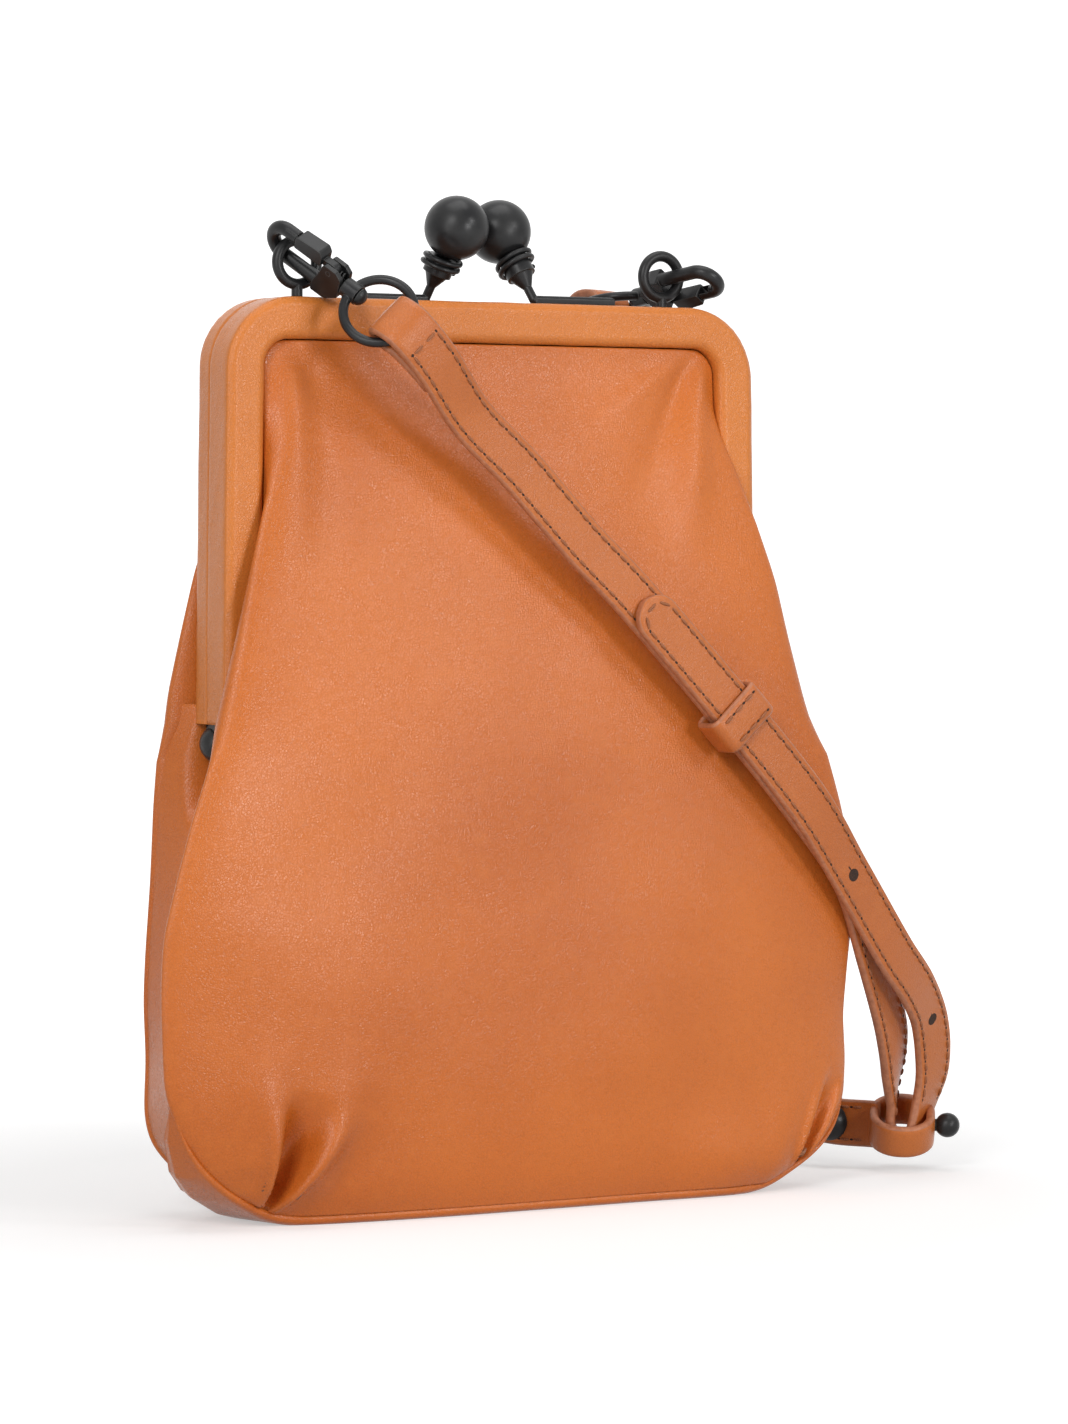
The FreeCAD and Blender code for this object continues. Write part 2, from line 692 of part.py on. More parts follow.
def panel(half, heights, inset, thickness, width_at):
    """Curved front (-1) or back (1) wall between its creases, a crescent at each height."""
    sections = []
    for z in heights:
        wide = width_at(z)
        edge, deep = crease(z, half) - inset, wall_depth(z, half) - inset
        right, left = V(wide, half * edge, z), V(-wide, half * edge, z)
        step = V(0, -half * thickness, 0)
        sections.append(Part.Wire([swelled(half, wide, edge, deep, z)] + lines(right, right + step)
                                  + [swelled(half, wide, edge - thickness, deep - thickness, z, -1)]
                                  + lines(left + step, left)))
    return Part.makeLoft(sections, True, False)


def strip_end(z, half):
    """Where the strip beside a crease ends, in front of the frame's arm: half width and depth."""
    edge = crease(z, half)
    seat = min(edge - strip_least, depth_of(half) + panel_gap)
    return wall_width(z, half) - strip_lean * (edge - seat), seat


def gathered_panel(half, heights, thickness):
    """Upper wall, with a strip beside each crease that turns back to the frame."""
    sections = []
    for z in heights:
        wide, edge, deep = wall_width(z, half), crease(z, half), wall_depth(z, half)
        end, seat = strip_end(z, half)
        rim = [V(wide, half * edge, z), V(end, half * seat, z), V(end - thickness, half * seat, z),
               V(wide - thickness, half * (edge - thickness), z)]
        far_rim = [V(-point.x, point.y, z) for point in reversed(rim)]
        outside = swelled(half, wide, edge, deep, z)
        inside = swelled(half, wide - thickness, edge - thickness, deep - thickness, z, -1)
        sections.append(Part.Wire([outside] + lines(*rim) + [inside] + lines(*far_rim)))
    return Part.makeLoft(sections, True, False)


def gusset(side, heights, inset, thickness):
    """Side wall between the creases, tucked in towards the hinge."""
    sections = []
    room = panel_thickness + panel_gap
    for z in heights:
        front_x, back_x = wall_width(z, -1) - inset, wall_width(z, 1) - inset
        front_y, back_y = room - crease(z, -1), crease(z, 1) - room
        tuck = gusset_tuck * ease(0.2, 1, z / hinge_height)
        front, back = V(side * front_x, front_y, z), V(side * back_x, back_y, z)
        middle = V(side * ((front_x + back_x) / 2 - tuck), (front_y + back_y) / 2, z)
        step = V(-side * thickness, 0, 0)
        sections.append(Part.Wire([Part.Arc(front, middle, back).toShape()] + lines(back, back + step)
                                  + [Part.Arc(back + step, middle + step, front + step).toShape()]
                                  + lines(front + step, front)))
    return Part.makeLoft(sections, True, False)


def base_plate(low, thickness, inset):
    """Flat plate with the pouch's outline at the height of its top."""
    z = panel_thickness
    wide, back_wide = wall_width(z, -1) - inset, wall_width(z, 1) - inset
    edge, back_edge = crease(z, -1) - inset, crease(z, 1) - inset
    front = swelled(-1, wide, edge, wall_depth(z, -1) - inset, low)
    back = swelled(1, back_wide, back_edge, wall_depth(z, 1) - inset, low, -1)
    outline = Part.Wire([front] + lines(V(wide, -edge, low), V(back_wide, back_edge, low)) + [back]
                        + lines(V(-back_wide, back_edge, low), V(-wide, -edge, low)))
    return Part.Face(outline).extrude(UP * thickness)


def spread(low, high, shares):
    return [low + (high - low) * share for share in shares]


def pouch():
    foot = panel_thickness + base_seam
    lower = spread(foot, split_height, (0, 0.04, 0.12, 0.3, 0.55, 0.8, 1))
    upper_foot, upper_top = split_height + panel_gap, band_bottom - panel_gap
    upper = spread(upper_foot, upper_top, (0, 0.3, 0.6, 0.8, 0.93, 1))
    lining_inset = panel_thickness + panel_gap
    lining_lower = spread(foot + board_thickness + panel_gap, split_height, (0, 0.1, 0.3, 0.55, 0.8, 1))
    lining_upper = spread(upper_foot, upper_top - panel_gap, (0, 0.3, 0.6, 0.8, 0.93, 1))
    save("base_panel", base_plate(0, panel_thickness, 0))
    save("base_board", base_plate(foot, board_thickness, lining_inset + board_margin))
    for half, name in ((-1, "front"), (1, "back")):

        def outer_width(z):
            return wall_width(z, half)

        def lower_lining_width(z):
            return wall_width(z, half) - lining_inset - lining_side_room

        def upper_lining_width(z):
            return min(strip_end(z, half)[0] - lining_inset - panel_gap, inner_x - panel_gap)

        save(name + "_panel_lower", panel(half, lower, 0, panel_thickness, outer_width))
        save(name + "_panel_upper", gathered_panel(half, upper, panel_thickness))
        save(name + "_lining_lower",
             panel(half, lining_lower, lining_inset, lining_thickness, lower_lining_width))
        save(name + "_lining_upper",
             panel(half, lining_upper, lining_inset, lining_thickness, upper_lining_width))
    for side, name in ((-1, "left"), (1, "right")):
        save(name + "_gusset", gusset(side, lower, panel_gap, panel_thickness))


def main():
    os.makedirs("parts", exist_ok=True)
    for half, name in ((-1, "front"), (1, "back")):
        bar = frame_bar(half, leather, arm_foot)
        core = bar.fuse([hinge_ear(half, -1), hinge_ear(half, 1)]).removeSplitter()
        save(name + "_frame_bar", core)
        save(name + "_frame_leather", rounded_wrap(half).cut(core))
        stem, collar, ball = kiss_lock(half)
        save(name + "_lock_stem", stem)
        save(name + "_lock_collar", collar)
        save(name + "_lock_ball", ball)
    save("hinge_rivets", hinge_rivet(-1), hinge_rivet(1))
    save("left_frame_ring", frame_ring(left_ring_x, -1))
    save("right_frame_ring", frame_ring(right_ring_x, 1))
    left_wire = hook("left", left_hook_middle, left_hook_way, left_gate_side, left_ring_across)
    right_wire = hook("right", right_hook_middle, right_hook_way, right_gate_side, right_ring_across)
    straps(left_wire, right_wire)
    pouch()


main()
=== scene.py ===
from math import cos, degrees, exp, pi, radians, sin, sqrt

import bpy
import numpy as np
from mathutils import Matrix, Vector, noise


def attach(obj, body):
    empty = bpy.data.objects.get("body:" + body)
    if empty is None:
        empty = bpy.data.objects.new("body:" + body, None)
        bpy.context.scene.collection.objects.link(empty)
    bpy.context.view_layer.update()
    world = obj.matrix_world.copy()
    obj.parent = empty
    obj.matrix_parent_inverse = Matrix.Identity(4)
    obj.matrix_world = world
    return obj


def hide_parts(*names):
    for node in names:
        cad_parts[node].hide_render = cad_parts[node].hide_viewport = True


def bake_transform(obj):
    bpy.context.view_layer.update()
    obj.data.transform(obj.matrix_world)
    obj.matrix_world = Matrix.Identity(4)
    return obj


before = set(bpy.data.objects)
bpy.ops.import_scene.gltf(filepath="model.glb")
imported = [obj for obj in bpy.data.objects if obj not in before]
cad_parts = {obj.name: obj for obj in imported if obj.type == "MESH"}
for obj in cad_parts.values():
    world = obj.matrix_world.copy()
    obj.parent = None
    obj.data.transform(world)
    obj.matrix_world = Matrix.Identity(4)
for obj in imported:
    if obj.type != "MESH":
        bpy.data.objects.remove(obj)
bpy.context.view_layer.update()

MM = 0.001

# Sizes that follow the solids, in millimetres
HALF_WIDTH = 78.1
INNER_X = 67.1
ARM_FLARE = 1.5
FRAME_TOP = 235.2
BAND_BOTTOM = 224.2
INNER_CORNER = 7.0
FRONT_DEPTH = 11.5
BACK_DEPTH = 8.0
NEAR_FACE = 0.15
ARM_FOOT = 126.5
HINGE_HEIGHT = 121.5
SPLIT_HEIGHT = 116.5
STRAP_WIDTH = 13.0
STRAP_THICKNESS = 2.4


# Node helpers

def new_material(name):
    """A material with its node tree and its main shader."""
    material = bpy.data.materials.new(name)
    material.use_nodes = True
    tree = material.node_tree
    return material, tree, tree.nodes["Principled BSDF"]


def set_inputs(node, **sockets):
    """Constants on a node's sockets; an underscore stands for a space."""
    for key, value in sockets.items():
        node.inputs[key.replace("_", " ")].default_value = value


def feed(tree, socket, value):
    """A link from another node's output, or a constant."""
    if isinstance(value, bpy.types.NodeSocket):
        tree.links.new(value, socket)
    else:
        socket.default_value = (*value, 1) if isinstance(value, tuple) else value


def operate(tree, kind, operation, *values):
    """A maths node with the given inputs."""
    node = tree.nodes.new(kind)
    node.operation = operation
    for socket, value in zip(node.inputs, values):
        feed(tree, socket, value)
    return node


def ramp(tree, source, stops):
    """Colours, or greys as plain numbers, along the source's values."""
    node = tree.nodes.new("ShaderNodeValToRGB")
    elements = node.color_ramp.elements
    for element, (place, colour) in zip(elements, stops):
        element.position = place
        element.color = (*(colour if isinstance(colour, tuple) else (colour,) * 3), 1)
    tree.links.new(source, node.inputs["Fac"])
    return node.outputs[0]


def mix_colour(tree, fac, a, b, mode="MIX"):
    """Colour a, turned into b as far as the factor says."""
    node = tree.nodes.new("ShaderNodeMix")
    node.data_type = "RGBA"
    node.blend_type = mode
    for socket, value in ((node.inputs[0], fac), (node.inputs[6], a), (node.inputs[7], b)):
        feed(tree, socket, value)
    return node.outputs[2]


def object_place(tree):
    return tree.nodes.new("ShaderNodeTexCoord").outputs["Object"]


def textured(tree, kind, place, **sockets):
    """A texture node at a place, with constants on its sockets."""
    node = tree.nodes.new(kind)
    set_inputs(node, **sockets)
    tree.links.new(place, node.inputs["Vector"])
    return node


def speckle(tree, place, scale, detail, roughness=0.5):
    """Noise at a place, as a factor."""
    node = textured(tree, "ShaderNodeTexNoise", place, Scale=scale, Detail=detail, Roughness=roughness)
    return node.outputs["Fac"]


def relief(tree, shader, height, strength, distance):
    """Fine bumps on a shader from a height."""
    bump = tree.nodes.new("ShaderNodeBump")
    set_inputs(bump, Strength=strength, Distance=distance)
    tree.links.new(height, bump.inputs["Height"])
    tree.links.new(bump.outputs["Normal"], shader.inputs["Normal"])
    return bump


def seen_rays(tree):
    """1 for rays that show a thing, directly or in a mirror, and 0 for rays that only light others."""
    path = tree.nodes.new("ShaderNodeLightPath")
    seen = path.outputs["Is Camera Ray"]
    for name in ("Is Glossy Ray", "Is Transmission Ray"):
        seen = operate(tree, "ShaderNodeMath", "MAXIMUM", seen, path.outputs[name]).outputs[0]
    return seen


# Materials

def leather(name, colour, deep, pale, roughness):
    """Smooth leather: cloudy dye, fine cells with darker pores, soft gloss."""
    material, tree, shader = new_material(name)
    place = object_place(tree)
    clouds = speckle(tree, place, scale=13, detail=3)
    mottle = speckle(tree, place, scale=240, detail=5, roughness=0.62)
    fine = speckle(tree, place, scale=1700, detail=1)
    cells = textured(tree, "ShaderNodeTexVoronoi", place, Scale=1400, Randomness=1)
    cells.feature = "DISTANCE_TO_EDGE"
    cloudy = ramp(tree, clouds, [(0.3, 0), (0.62, 1)])
    flecks = ramp(tree, mottle, [(0.52, 0), (0.8, 0.3)])
    pores = ramp(tree, cells.outputs["Distance"], [(0.0, 0.86), (0.1, 1)])
    dyed = mix_colour(tree, flecks, mix_colour(tree, cloudy, deep, colour), pale)
    tree.links.new(mix_colour(tree, 1, dyed, pores, "MULTIPLY"), shader.inputs["Base Color"])
    shine = [(0.3, roughness - 0.05), (0.75, roughness + 0.07)]
    tree.links.new(ramp(tree, mottle, shine), shader.inputs["Roughness"])
    grooves = ramp(tree, cells.outputs["Distance"], [(0.0, 0), (0.16, 1)])
    height = operate(tree, "ShaderNodeMath", "MULTIPLY_ADD", fine, 1.6, grooves)
    relief(tree, shader, height.outputs[0], strength=0.22, distance=0.0003)
    set_inputs(shader, Specular_IOR_Level=0.28, Coat_Weight=0.08, Coat_Roughness=0.28)
    return material


def matt_mottle(name, pale, dark):
    """Cut edges, the flesh side of leather and board: matt, in two tints."""
    material, tree, shader = new_material(name)
    mottle = speckle(tree, object_place(tree), scale=600, detail=5, roughness=0.65)
    tint = ramp(tree, mottle, [(0.3, dark), (0.62, pale)])
    tree.links.new(tint, shader.inputs["Base Color"])
    relief(tree, shader, mottle, strength=0.2, distance=0.0002)
    set_inputs(shader, Roughness=0.5)
    return material


def thread(name, colour):
    """Twisted sewing thread."""
    material, tree, shader = new_material(name)
    twist = textured(tree, "ShaderNodeTexWave", object_place(tree), Scale=900, Distortion=2)
    tint = ramp(tree, twist.outputs["Fac"], [(0.0, tuple(c * 0.6 for c in colour)), (0.7, colour)])
    tree.links.new(tint, shader.inputs["Base Color"])
    relief(tree, shader, twist.outputs["Fac"], strength=0.4, distance=0.0001)
    set_inputs(shader, Roughness=0.7)
    return material


def hole_shade(name):
    """Painted shade for the inside of a punched or needle hole, with browner fibres."""
    material, tree, shader = new_material(name)
    fibres = speckle(tree, object_place(tree), scale=2500, detail=4)
    tint = ramp(tree, fibres, [(0.35, (0.012, 0.006, 0.004)), (0.75, (0.06, 0.025, 0.012))])
    tree.links.new(tint, shader.inputs["Base Color"])
    set_inputs(shader, Roughness=0.95)
    return material


def black_metal(name, roughness):
    """Satin black castings, a little paler where edges are rubbed."""
    material, tree, shader = new_material(name)
    links = tree.links
    place = object_place(tree)
    cast = speckle(tree, place, scale=1400, detail=4, roughness=0.6)
    smear = speckle(tree, place, scale=160, detail=3)
    bevel = tree.nodes.new("ShaderNodeBevel")
    bevel.samples = 6
    set_inputs(bevel, Radius=0.00045)
    rounded = bevel.outputs["Normal"]
    plain = tree.nodes.new("ShaderNodeNewGeometry").outputs["Normal"]
    aligned = operate(tree, "ShaderNodeVectorMath", "DOT_PRODUCT", rounded, plain)
    rubbed = ramp(tree, aligned.outputs["Value"], [(0.86, 1), (0.985, 0)])
    tint = ramp(tree, smear, [(0.3, (0.009, 0.009, 0.010)), (0.7, (0.018, 0.018, 0.018))])
    links.new(mix_colour(tree, rubbed, tint, (0.06, 0.06, 0.058)), shader.inputs["Base Color"])
    shine = [(0.3, roughness - 0.05), (0.75, roughness + 0.08)]
    links.new(ramp(tree, smear, shine), shader.inputs["Roughness"])
    bump = relief(tree, shader, cast, strength=0.06, distance=0.0001)
    links.new(rounded, bump.inputs["Normal"])
    set_inputs(shader, Specular_IOR_Level=0.24)
    return material


def cloth(name, colour):
    """Plain woven lining."""
    material, tree, shader = new_material(name)
    place = object_place(tree)
    across = textured(tree, "ShaderNodeTexWave", place, Scale=700, Distortion=0.6)
    along = textured(tree, "ShaderNodeTexWave", place, Scale=700, Distortion=0.6)
    along.bands_direction = "Z"
    weave = mix_colour(tree, 1, across.outputs["Color"], along.outputs["Color"], "MULTIPLY")
    tint = ramp(tree, weave, [(0.0, tuple(c * 0.6 for c in colour)), (0.8, colour)])
    tree.links.new(tint, shader.inputs["Base Color"])
    relief(tree, shader, weave, strength=0.4, distance=0.0002)
    set_inputs(shader, Roughness=0.85, Sheen_Weight=0.25)
    return material


POUCH = leather("pouch_leather", colour=(0.575, 0.150, 0.023), deep=(0.48, 0.115, 0.016),
                pale=(0.63, 0.19, 0.038), roughness=0.28)
WRAP = leather("frame_wrap_leather", colour=(0.62, 0.190, 0.033), deep=(0.54, 0.158, 0.026),
               pale=(0.67, 0.225, 0.05), roughness=0.30)
STRAP = leather("strap_leather", colour=(0.52, 0.148, 0.032), deep=(0.44, 0.116, 0.024),
                pale=(0.58, 0.19, 0.05), roughness=0.32)
EDGE = matt_mottle("strap_edge", (0.44, 0.165, 0.075), (0.30, 0.10, 0.043))
FLESH = matt_mottle("flesh_side", (0.38, 0.17, 0.08), (0.27, 0.11, 0.05))
THREAD = thread("thread", (0.33, 0.11, 0.038))
# The holes' material is painted shade: the dark of a hole's inside.
HOLE_SHADE = hole_shade("punched_hole_shade")
METAL = black_metal("black_metal", 0.33)
LINING = cloth("lining_cloth", (0.16, 0.085, 0.045))
BOARD = matt_mottle("base_board", (0.05, 0.04, 0.03), (0.03, 0.025, 0.02))


# Mesh helpers, in millimetres until the mesh is made

def make_object(name, points, faces, materials, indices=None):
    """A smooth object in the scene; the indices pick each face's material."""
    mesh = bpy.data.meshes.new(name)
    mesh.from_pydata((np.asarray(points) * MM).tolist(), [], faces)
    for material in materials:
        mesh.materials.append(material)
    if indices is not None:
        mesh.polygons.foreach_set("material_index", indices)
    mesh.polygons.foreach_set("use_smooth", [True] * len(mesh.polygons))
    mesh.update()
    obj = bpy.data.objects.new(name, mesh)
    bpy.context.scene.collection.objects.link(obj)
    return obj


def grid_faces(rows, columns, start=0, flip=False, closed=False):
    """Quads of a grid of points from a start; a closed grid joins its last column to its first."""
    faces = []
    last = columns if closed else columns - 1
    for r in range(rows - 1):
        for c in range(last):
            a = start + r * columns + c
            b = start + r * columns + (c + 1) % columns
            quad = [a, b, b + columns, a + columns]
            faces.append(quad[::-1] if flip else quad)
    return faces


def grid_normals(grid):
    """Unit vectors out of a grid's face."""
    along = np.gradient(grid, axis=1)
    up = np.gradient(grid, axis=0)
    normal = np.cross(along, up)
    return normal / np.maximum(np.linalg.norm(normal, axis=2, keepdims=True), 1e-9)


def shell(name, grid, thickness, materials):
    """A sheet with two sides and edges: the grid is its outer face, with rows up and columns right."""
    rows, columns = grid.shape[:2]
    inner = grid - grid_normals(grid) * thickness
    points = np.concatenate([grid.reshape(-1, 3), inner.reshape(-1, 3)])
    count = rows * columns
    side_faces = (rows - 1) * (columns - 1)
    faces = grid_faces(rows, columns) + grid_faces(rows, columns, count, True)
    order = np.arange(count).reshape(rows, columns)
    ring = np.concatenate([order[0], order[1:, -1], order[-1, -2::-1], order[-2:0:-1, 0]]).tolist()
    faces += [[b, a, a + count, b + count] for a, b in zip(ring, ring[1:] + ring[:1])]
    indices = [0] * side_faces + [1] * (side_faces + len(ring))
    return make_object(name, points, faces, materials, indices)


def unit(vectors):
    """A vector, or an array of them, with length 1."""
    vectors = np.array(vectors, float)
    return vectors / np.linalg.norm(vectors, axis=-1, keepdims=True)


def look_up(places, run, points):
    """Points at places along the run of a line of points."""
    return np.stack([np.interp(places, run, column) for column in points.T], -1)


def run_lengths(points, power=1):
    """Sum of the steps along a line up to each point, each step raised to a power."""
    return np.concatenate([[0], np.cumsum(np.linalg.norm(np.diff(points, axis=0), axis=1) ** power)])


def smoothed(line, times):
    """A line with its inner points drawn towards their neighbours."""
    for _ in range(times):
        line[1:-1] = 0.25 * line[:-2] + 0.5 * line[1:-1] + 0.25 * line[2:]
    return line


def rise(t):
    """A soft step from 0 to 1."""
    t = np.clip(t, 0, 1)
    return t * t * (3 - 2 * t)


TABLE_STEP = 0.5
TABLE_SOFTNESS = 3.0


def table(rows, column, heights):
    """A column of a table at the given heights, smoothed."""
    dense = np.arange(-20, 250, TABLE_STEP)
    value = np.interp(dense, [r[0] for r in rows], [r[column] for r in rows])
    reach = np.arange(-4 * TABLE_SOFTNESS, 4 * TABLE_SOFTNESS + TABLE_STEP / 2, TABLE_STEP)
    weights = np.exp(-0.5 * (reach / TABLE_SOFTNESS) ** 2)
    padded = np.pad(value, len(reach) // 2, mode="edge")
    smooth = np.convolve(padded, weights / weights.sum(), mode="valid")
    return np.interp(heights, dense, smooth[:len(dense)])


def along_line(x, z, start, end):
    """Share of the way along a line in a wall's plane, and the distance beside it."""
    a = np.array(start)
    d = np.array(end) - a
    t = ((x - a[0]) * d[0] + (z - a[1]) * d[1]) / (d @ d)
    off = ((x - a[0]) * d[1] - (z - a[1]) * d[0]) / np.sqrt(d @ d)
    return t, off


def fold(x, z, start, end, width, height, spread):
    """A soft ridge, or a valley if its height is below 0, along a line and fading at both ends."""
    t, off = along_line(x, z, start, end)
    wide = width * (1 + spread * np.clip(t, 0, 1.4))
    along = np.exp(-np.clip(-t, 0, None) ** 2 / 0.02) * np.exp(-np.clip(t - 0.45, 0, None) ** 2 / 0.16)
    return height * along * np.exp(-0.5 * (off / wide) ** 2)


def pleat(x, z, foot, top, narrow, opening, depth):
    """A sewn-in pleat: shut at its foot, opening upwards into a pocket between two rims."""
    t, off = along_line(x, z, foot, top)
    half = narrow + opening * np.clip(t, 0, 1.2)
    along = rise((t - 0.02) / 0.3) * (1 - rise((t - 0.5) / 0.62))
    pocket = np.exp(-np.abs(off / half) ** 3.8)
    rims = np.exp(-((np.abs(off) - 1.75 * half) / (0.8 * half)) ** 2)
    return depth * along * (0.38 * rims - pocket)


def cloud(x, z, size, seed):
    """Slow uneven noise over a surface."""
    flat = np.stack([x.ravel() / size, z.ravel() / size], 1)
    value = [noise.noise(Vector((p[0], p[1], seed))) for p in flat]
    return np.array(value).reshape(x.shape)


# Pouch walls, in rows of height, left crease, right crease, depth at the creases and depth in the middle

FRONT = [
    (0, 60, 67, 19, 24), (2, 66, 73, 19.9, 25.6), (4.5, 74, 82, 20.7, 27.2), (8, 81, 88, 21.3, 28.4),
    (12, 86.5, 94, 21.7, 29.3), (18, 92.5, 98.2, 22.2, 30.4), (25, 97.4, 100, 22.7, 31.2),
    (35, 101.6, 100.4, 23.1, 32.1), (46, 102.4, 99.4, 23.4, 32.7), (60, 102.8, 100.8, 23.6, 33),
    (75, 102.2, 102.8, 23.6, 32.6), (90, 98.4, 101.6, 23.5, 31.5), (103, 94.6, 98.6, 23.4, 30.3),
    (118, 89.2, 94, 23.2, 28.9), (131, 85.6, 89.8, 21.8, 26.6), (148, 80, 86, 19.3, 23.4),
    (162, 76, 83.2, 17.2, 20.7), (174, 72.6, 79.2, 15.4, 18.4), (182, 70.2, 76.6, 14.2, 16.8),
    (195, 66, 71.5, 12.9, 15.1), (205, 62.4, 67, 10.9, 12.8), (214, 60, 62.5, 9.4, 10.7),
    (220, 58.5, 59, 9, 9.8), (224, 56, 56, 8.8, 9.4)]
# The back wall has the same creases left and right
EVEN_BACK = [
    (0, 58, 12, 13), (3.5, 70, 14.5, 17), (10, 80, 16, 19.6), (18, 87.2, 17.2, 21.8),
    (26, 88.8, 17.8, 23.2), (40, 87.8, 18.4, 24.6), (55, 88.5, 18.6, 25), (67, 88, 18.6, 24.8),
    (85, 86.8, 18.2, 23.6), (106, 86.6, 17, 21.6), (122, 85.6, 15.6, 19.9), (134, 84.6, 14.5, 18.4),
    (147, 82, 13.4, 16.8), (168, 77.2, 11.6, 14.2), (182, 71, 10.4, 12.4), (200, 66, 8.9, 10.4),
    (214, 60, 7, 8), (224, 54, 5.6, 6.4)]
BACK = [(height, crease, crease, *depths) for height, crease, *depths in EVEN_BACK]
CREASE_OUT = 0.9
WALL_THICKNESS = 1.4
WALL_SMOOTHING = 48
# Points of a row between the creases, and round each fold
MAIN = 201
STRIP = 26
STRIP_SHARES = [0, 0.4, 0.7, 1]
SEAT_GAP = 0.1
SHOULDER_HEIGHTS = (178, 196)
SHOULDER_PROUD = (0.9, -3.2)
TUCK_DEPTH = 5.5
BULGE_FLATNESS = 2.5
BULGE_ROUNDING = 0.75
PANEL_FOOT = 2.4
PANEL_TOP = BAND_BOTTOM - 0.2
LINING_GAP = 2.0
LINING_MARGIN = 9
LINING_FOOT = 6.0
LINING_THICKNESS = 0.5


def arm_seat(z):
    """How far out a wall's edge sits: against the inside of the frame, round its corner too."""
    flare = ARM_FLARE * np.clip((FRAME_TOP - z) / (FRAME_TOP - ARM_FOOT), 0, 1)
    turn = np.clip(z - BAND_BOTTOM + INNER_CORNER, 0, INNER_CORNER)
    return INNER_X + flare - SEAT_GAP - INNER_CORNER + sqrt(INNER_CORNER ** 2 - turn ** 2)


def edge_strip(side, edge, deep, z, face, arm):
    """One row from a crease round its fold: to the gusset below the arms, behind the frame beside them."""
    seat = arm_seat(z)
    shoulder = min(face + np.interp(z, SHOULDER_HEIGHTS, SHOULDER_PROUD), deep - 0.8)
    tuck = min(face - TUCK_DEPTH, deep - 1.5)
    low = [(edge, deep), (edge - 1.2, deep - 1.6), (edge - 2.6, deep - 3.0), (edge - 4.0, deep - 4.4)]
    high = [(edge, deep), (max(edge - 2.5, seat), shoulder), (seat, shoulder), (seat, tuck)]
    knots = np.array(low) + (np.array(high) - np.array(low)) * arm
    t = np.linspace(0, 1, STRIP + 1)[1:]
    x = np.interp(t, STRIP_SHARES, knots[:, 0])
    y = np.interp(t, STRIP_SHARES, -knots[:, 1])
    return np.stack([side * x, y], 1)


def panel_grid(rows, heights, face):
    """A wall seen from the front; each row runs crease to crease and round both folds."""
    left, right = table(rows, 1, heights) + CREASE_OUT, table(rows, 2, heights) + CREASE_OUT
    crease, middle = table(rows, 3, heights), table(rows, 4, heights)
    share = np.linspace(-1, 1, MAIN)
    bulge = (1 - np.abs(share) ** BULGE_FLATNESS) ** BULGE_ROUNDING
    arm = np.clip((heights - SPLIT_HEIGHT) / (ARM_FOOT - SPLIT_HEIGHT), 0, 1)
    grid = np.zeros((len(heights), MAIN + 2 * STRIP, 3))
    for i, z in enumerate(heights):
        deep = crease[i]
        grid[i, STRIP:-STRIP, 0] = share * np.where(share < 0, left[i], right[i])
        grid[i, STRIP:-STRIP, 1] = -(deep + (middle[i] - deep) * bulge)
        grid[i, :STRIP, :2] = edge_strip(-1, left[i], deep, z, face, arm[i])[::-1]
        grid[i, -STRIP:, :2] = edge_strip(1, right[i], deep, z, face, arm[i])
        grid[i, :, 2] = z
    smoothed(grid.swapaxes(0, 1), WALL_SMOOTHING)
    return grid


# Pleats: foot, top, half width at the foot, how much wider at the top, depth
FRONT_PLEATS = [((-74, 1), (-64, 32), 0.7, 5.2, 8.2), ((83, 2.5), (95.5, 30), 0.8, 1.8, 3.6)]
BACK_PLEATS = [((70, 1.5), (63, 32), 0.9, 3.2, 4.2)]
# Folds: start, end, width, height, how they spread
FRONT_FOLDS = [
    ((-79, 18), (-76, 50), 4.2, 1.6, 0.5), ((-61, 12), (-53, 46), 3.4, 1.6, 0.6),
    ((-66, 2), (-36, 30), 3.2, -1, 1.4), ((62, -6), (68, 22), 14, 3, 0),
    ((76, 4), (84, 38), 3.6, 1.1, 0.9), ((60, 222), (40, 186), 1.8, -1.1, 0.9),
    ((62, 216), (54, 170), 2.4, 1.5, 0.9), ((57, 223), (28, 202), 1.9, 0.7, 0.9),
    ((-54, 214), (-46, 180), 2.6, -0.6, 1), ((-60, 210), (-66, 150), 3.2, 1.5, 0.8)]
BACK_FOLDS = [
    ((58, 14), (52, 42), 3.6, 1.3, 0.6), ((60, 222), (46, 184), 2, -0.9, 0.9),
    ((62, 218), (60, 172), 2, 0.8, 0.9)]
# Swellings: height and size
SWELLINGS = [(1.2, 60), (0.5, 27)]
SWELL_FOOT = 40
SWELL_TOP = 225
SWELL_TOP_FADE = 60
BAND_FADE = 9


def mirrored(rows):
    """Pleats or folds on the left for those given on the right."""
    return [((-start[0], start[1]), (-end[0], end[1]), *rest) for start, end, *rest in rows]


def folded(grid, pleats, folds, seeds):
    """A wall with its pleats, folds and slow swelling, which fade under the frame's band."""
    x, z = grid[..., 0], grid[..., 2]
    push = sum(height * cloud(x, z, size, seed) for (height, size), seed in zip(SWELLINGS, seeds))
    push = push * np.clip(z / SWELL_FOOT, 0, 1) * np.clip((SWELL_TOP - z) / SWELL_TOP_FADE, 0, 1)
    for row in pleats:
        push += pleat(x, z, *row)
    for row in folds:
        push += fold(x, z, *row)
    grid[..., 1] -= push * rise((BAND_BOTTOM - z) / BAND_FADE)
    return grid


def lining_grid(grid):
    """Cloth lining close behind a wall, from above the base board to under the frame."""
    inside = grid - grid_normals(grid) * LINING_GAP
    tall = (heights > LINING_FOOT) & (heights < BAND_BOTTOM - 2)
    reach = STRIP + LINING_MARGIN
    return inside[tall][:, reach:-reach]


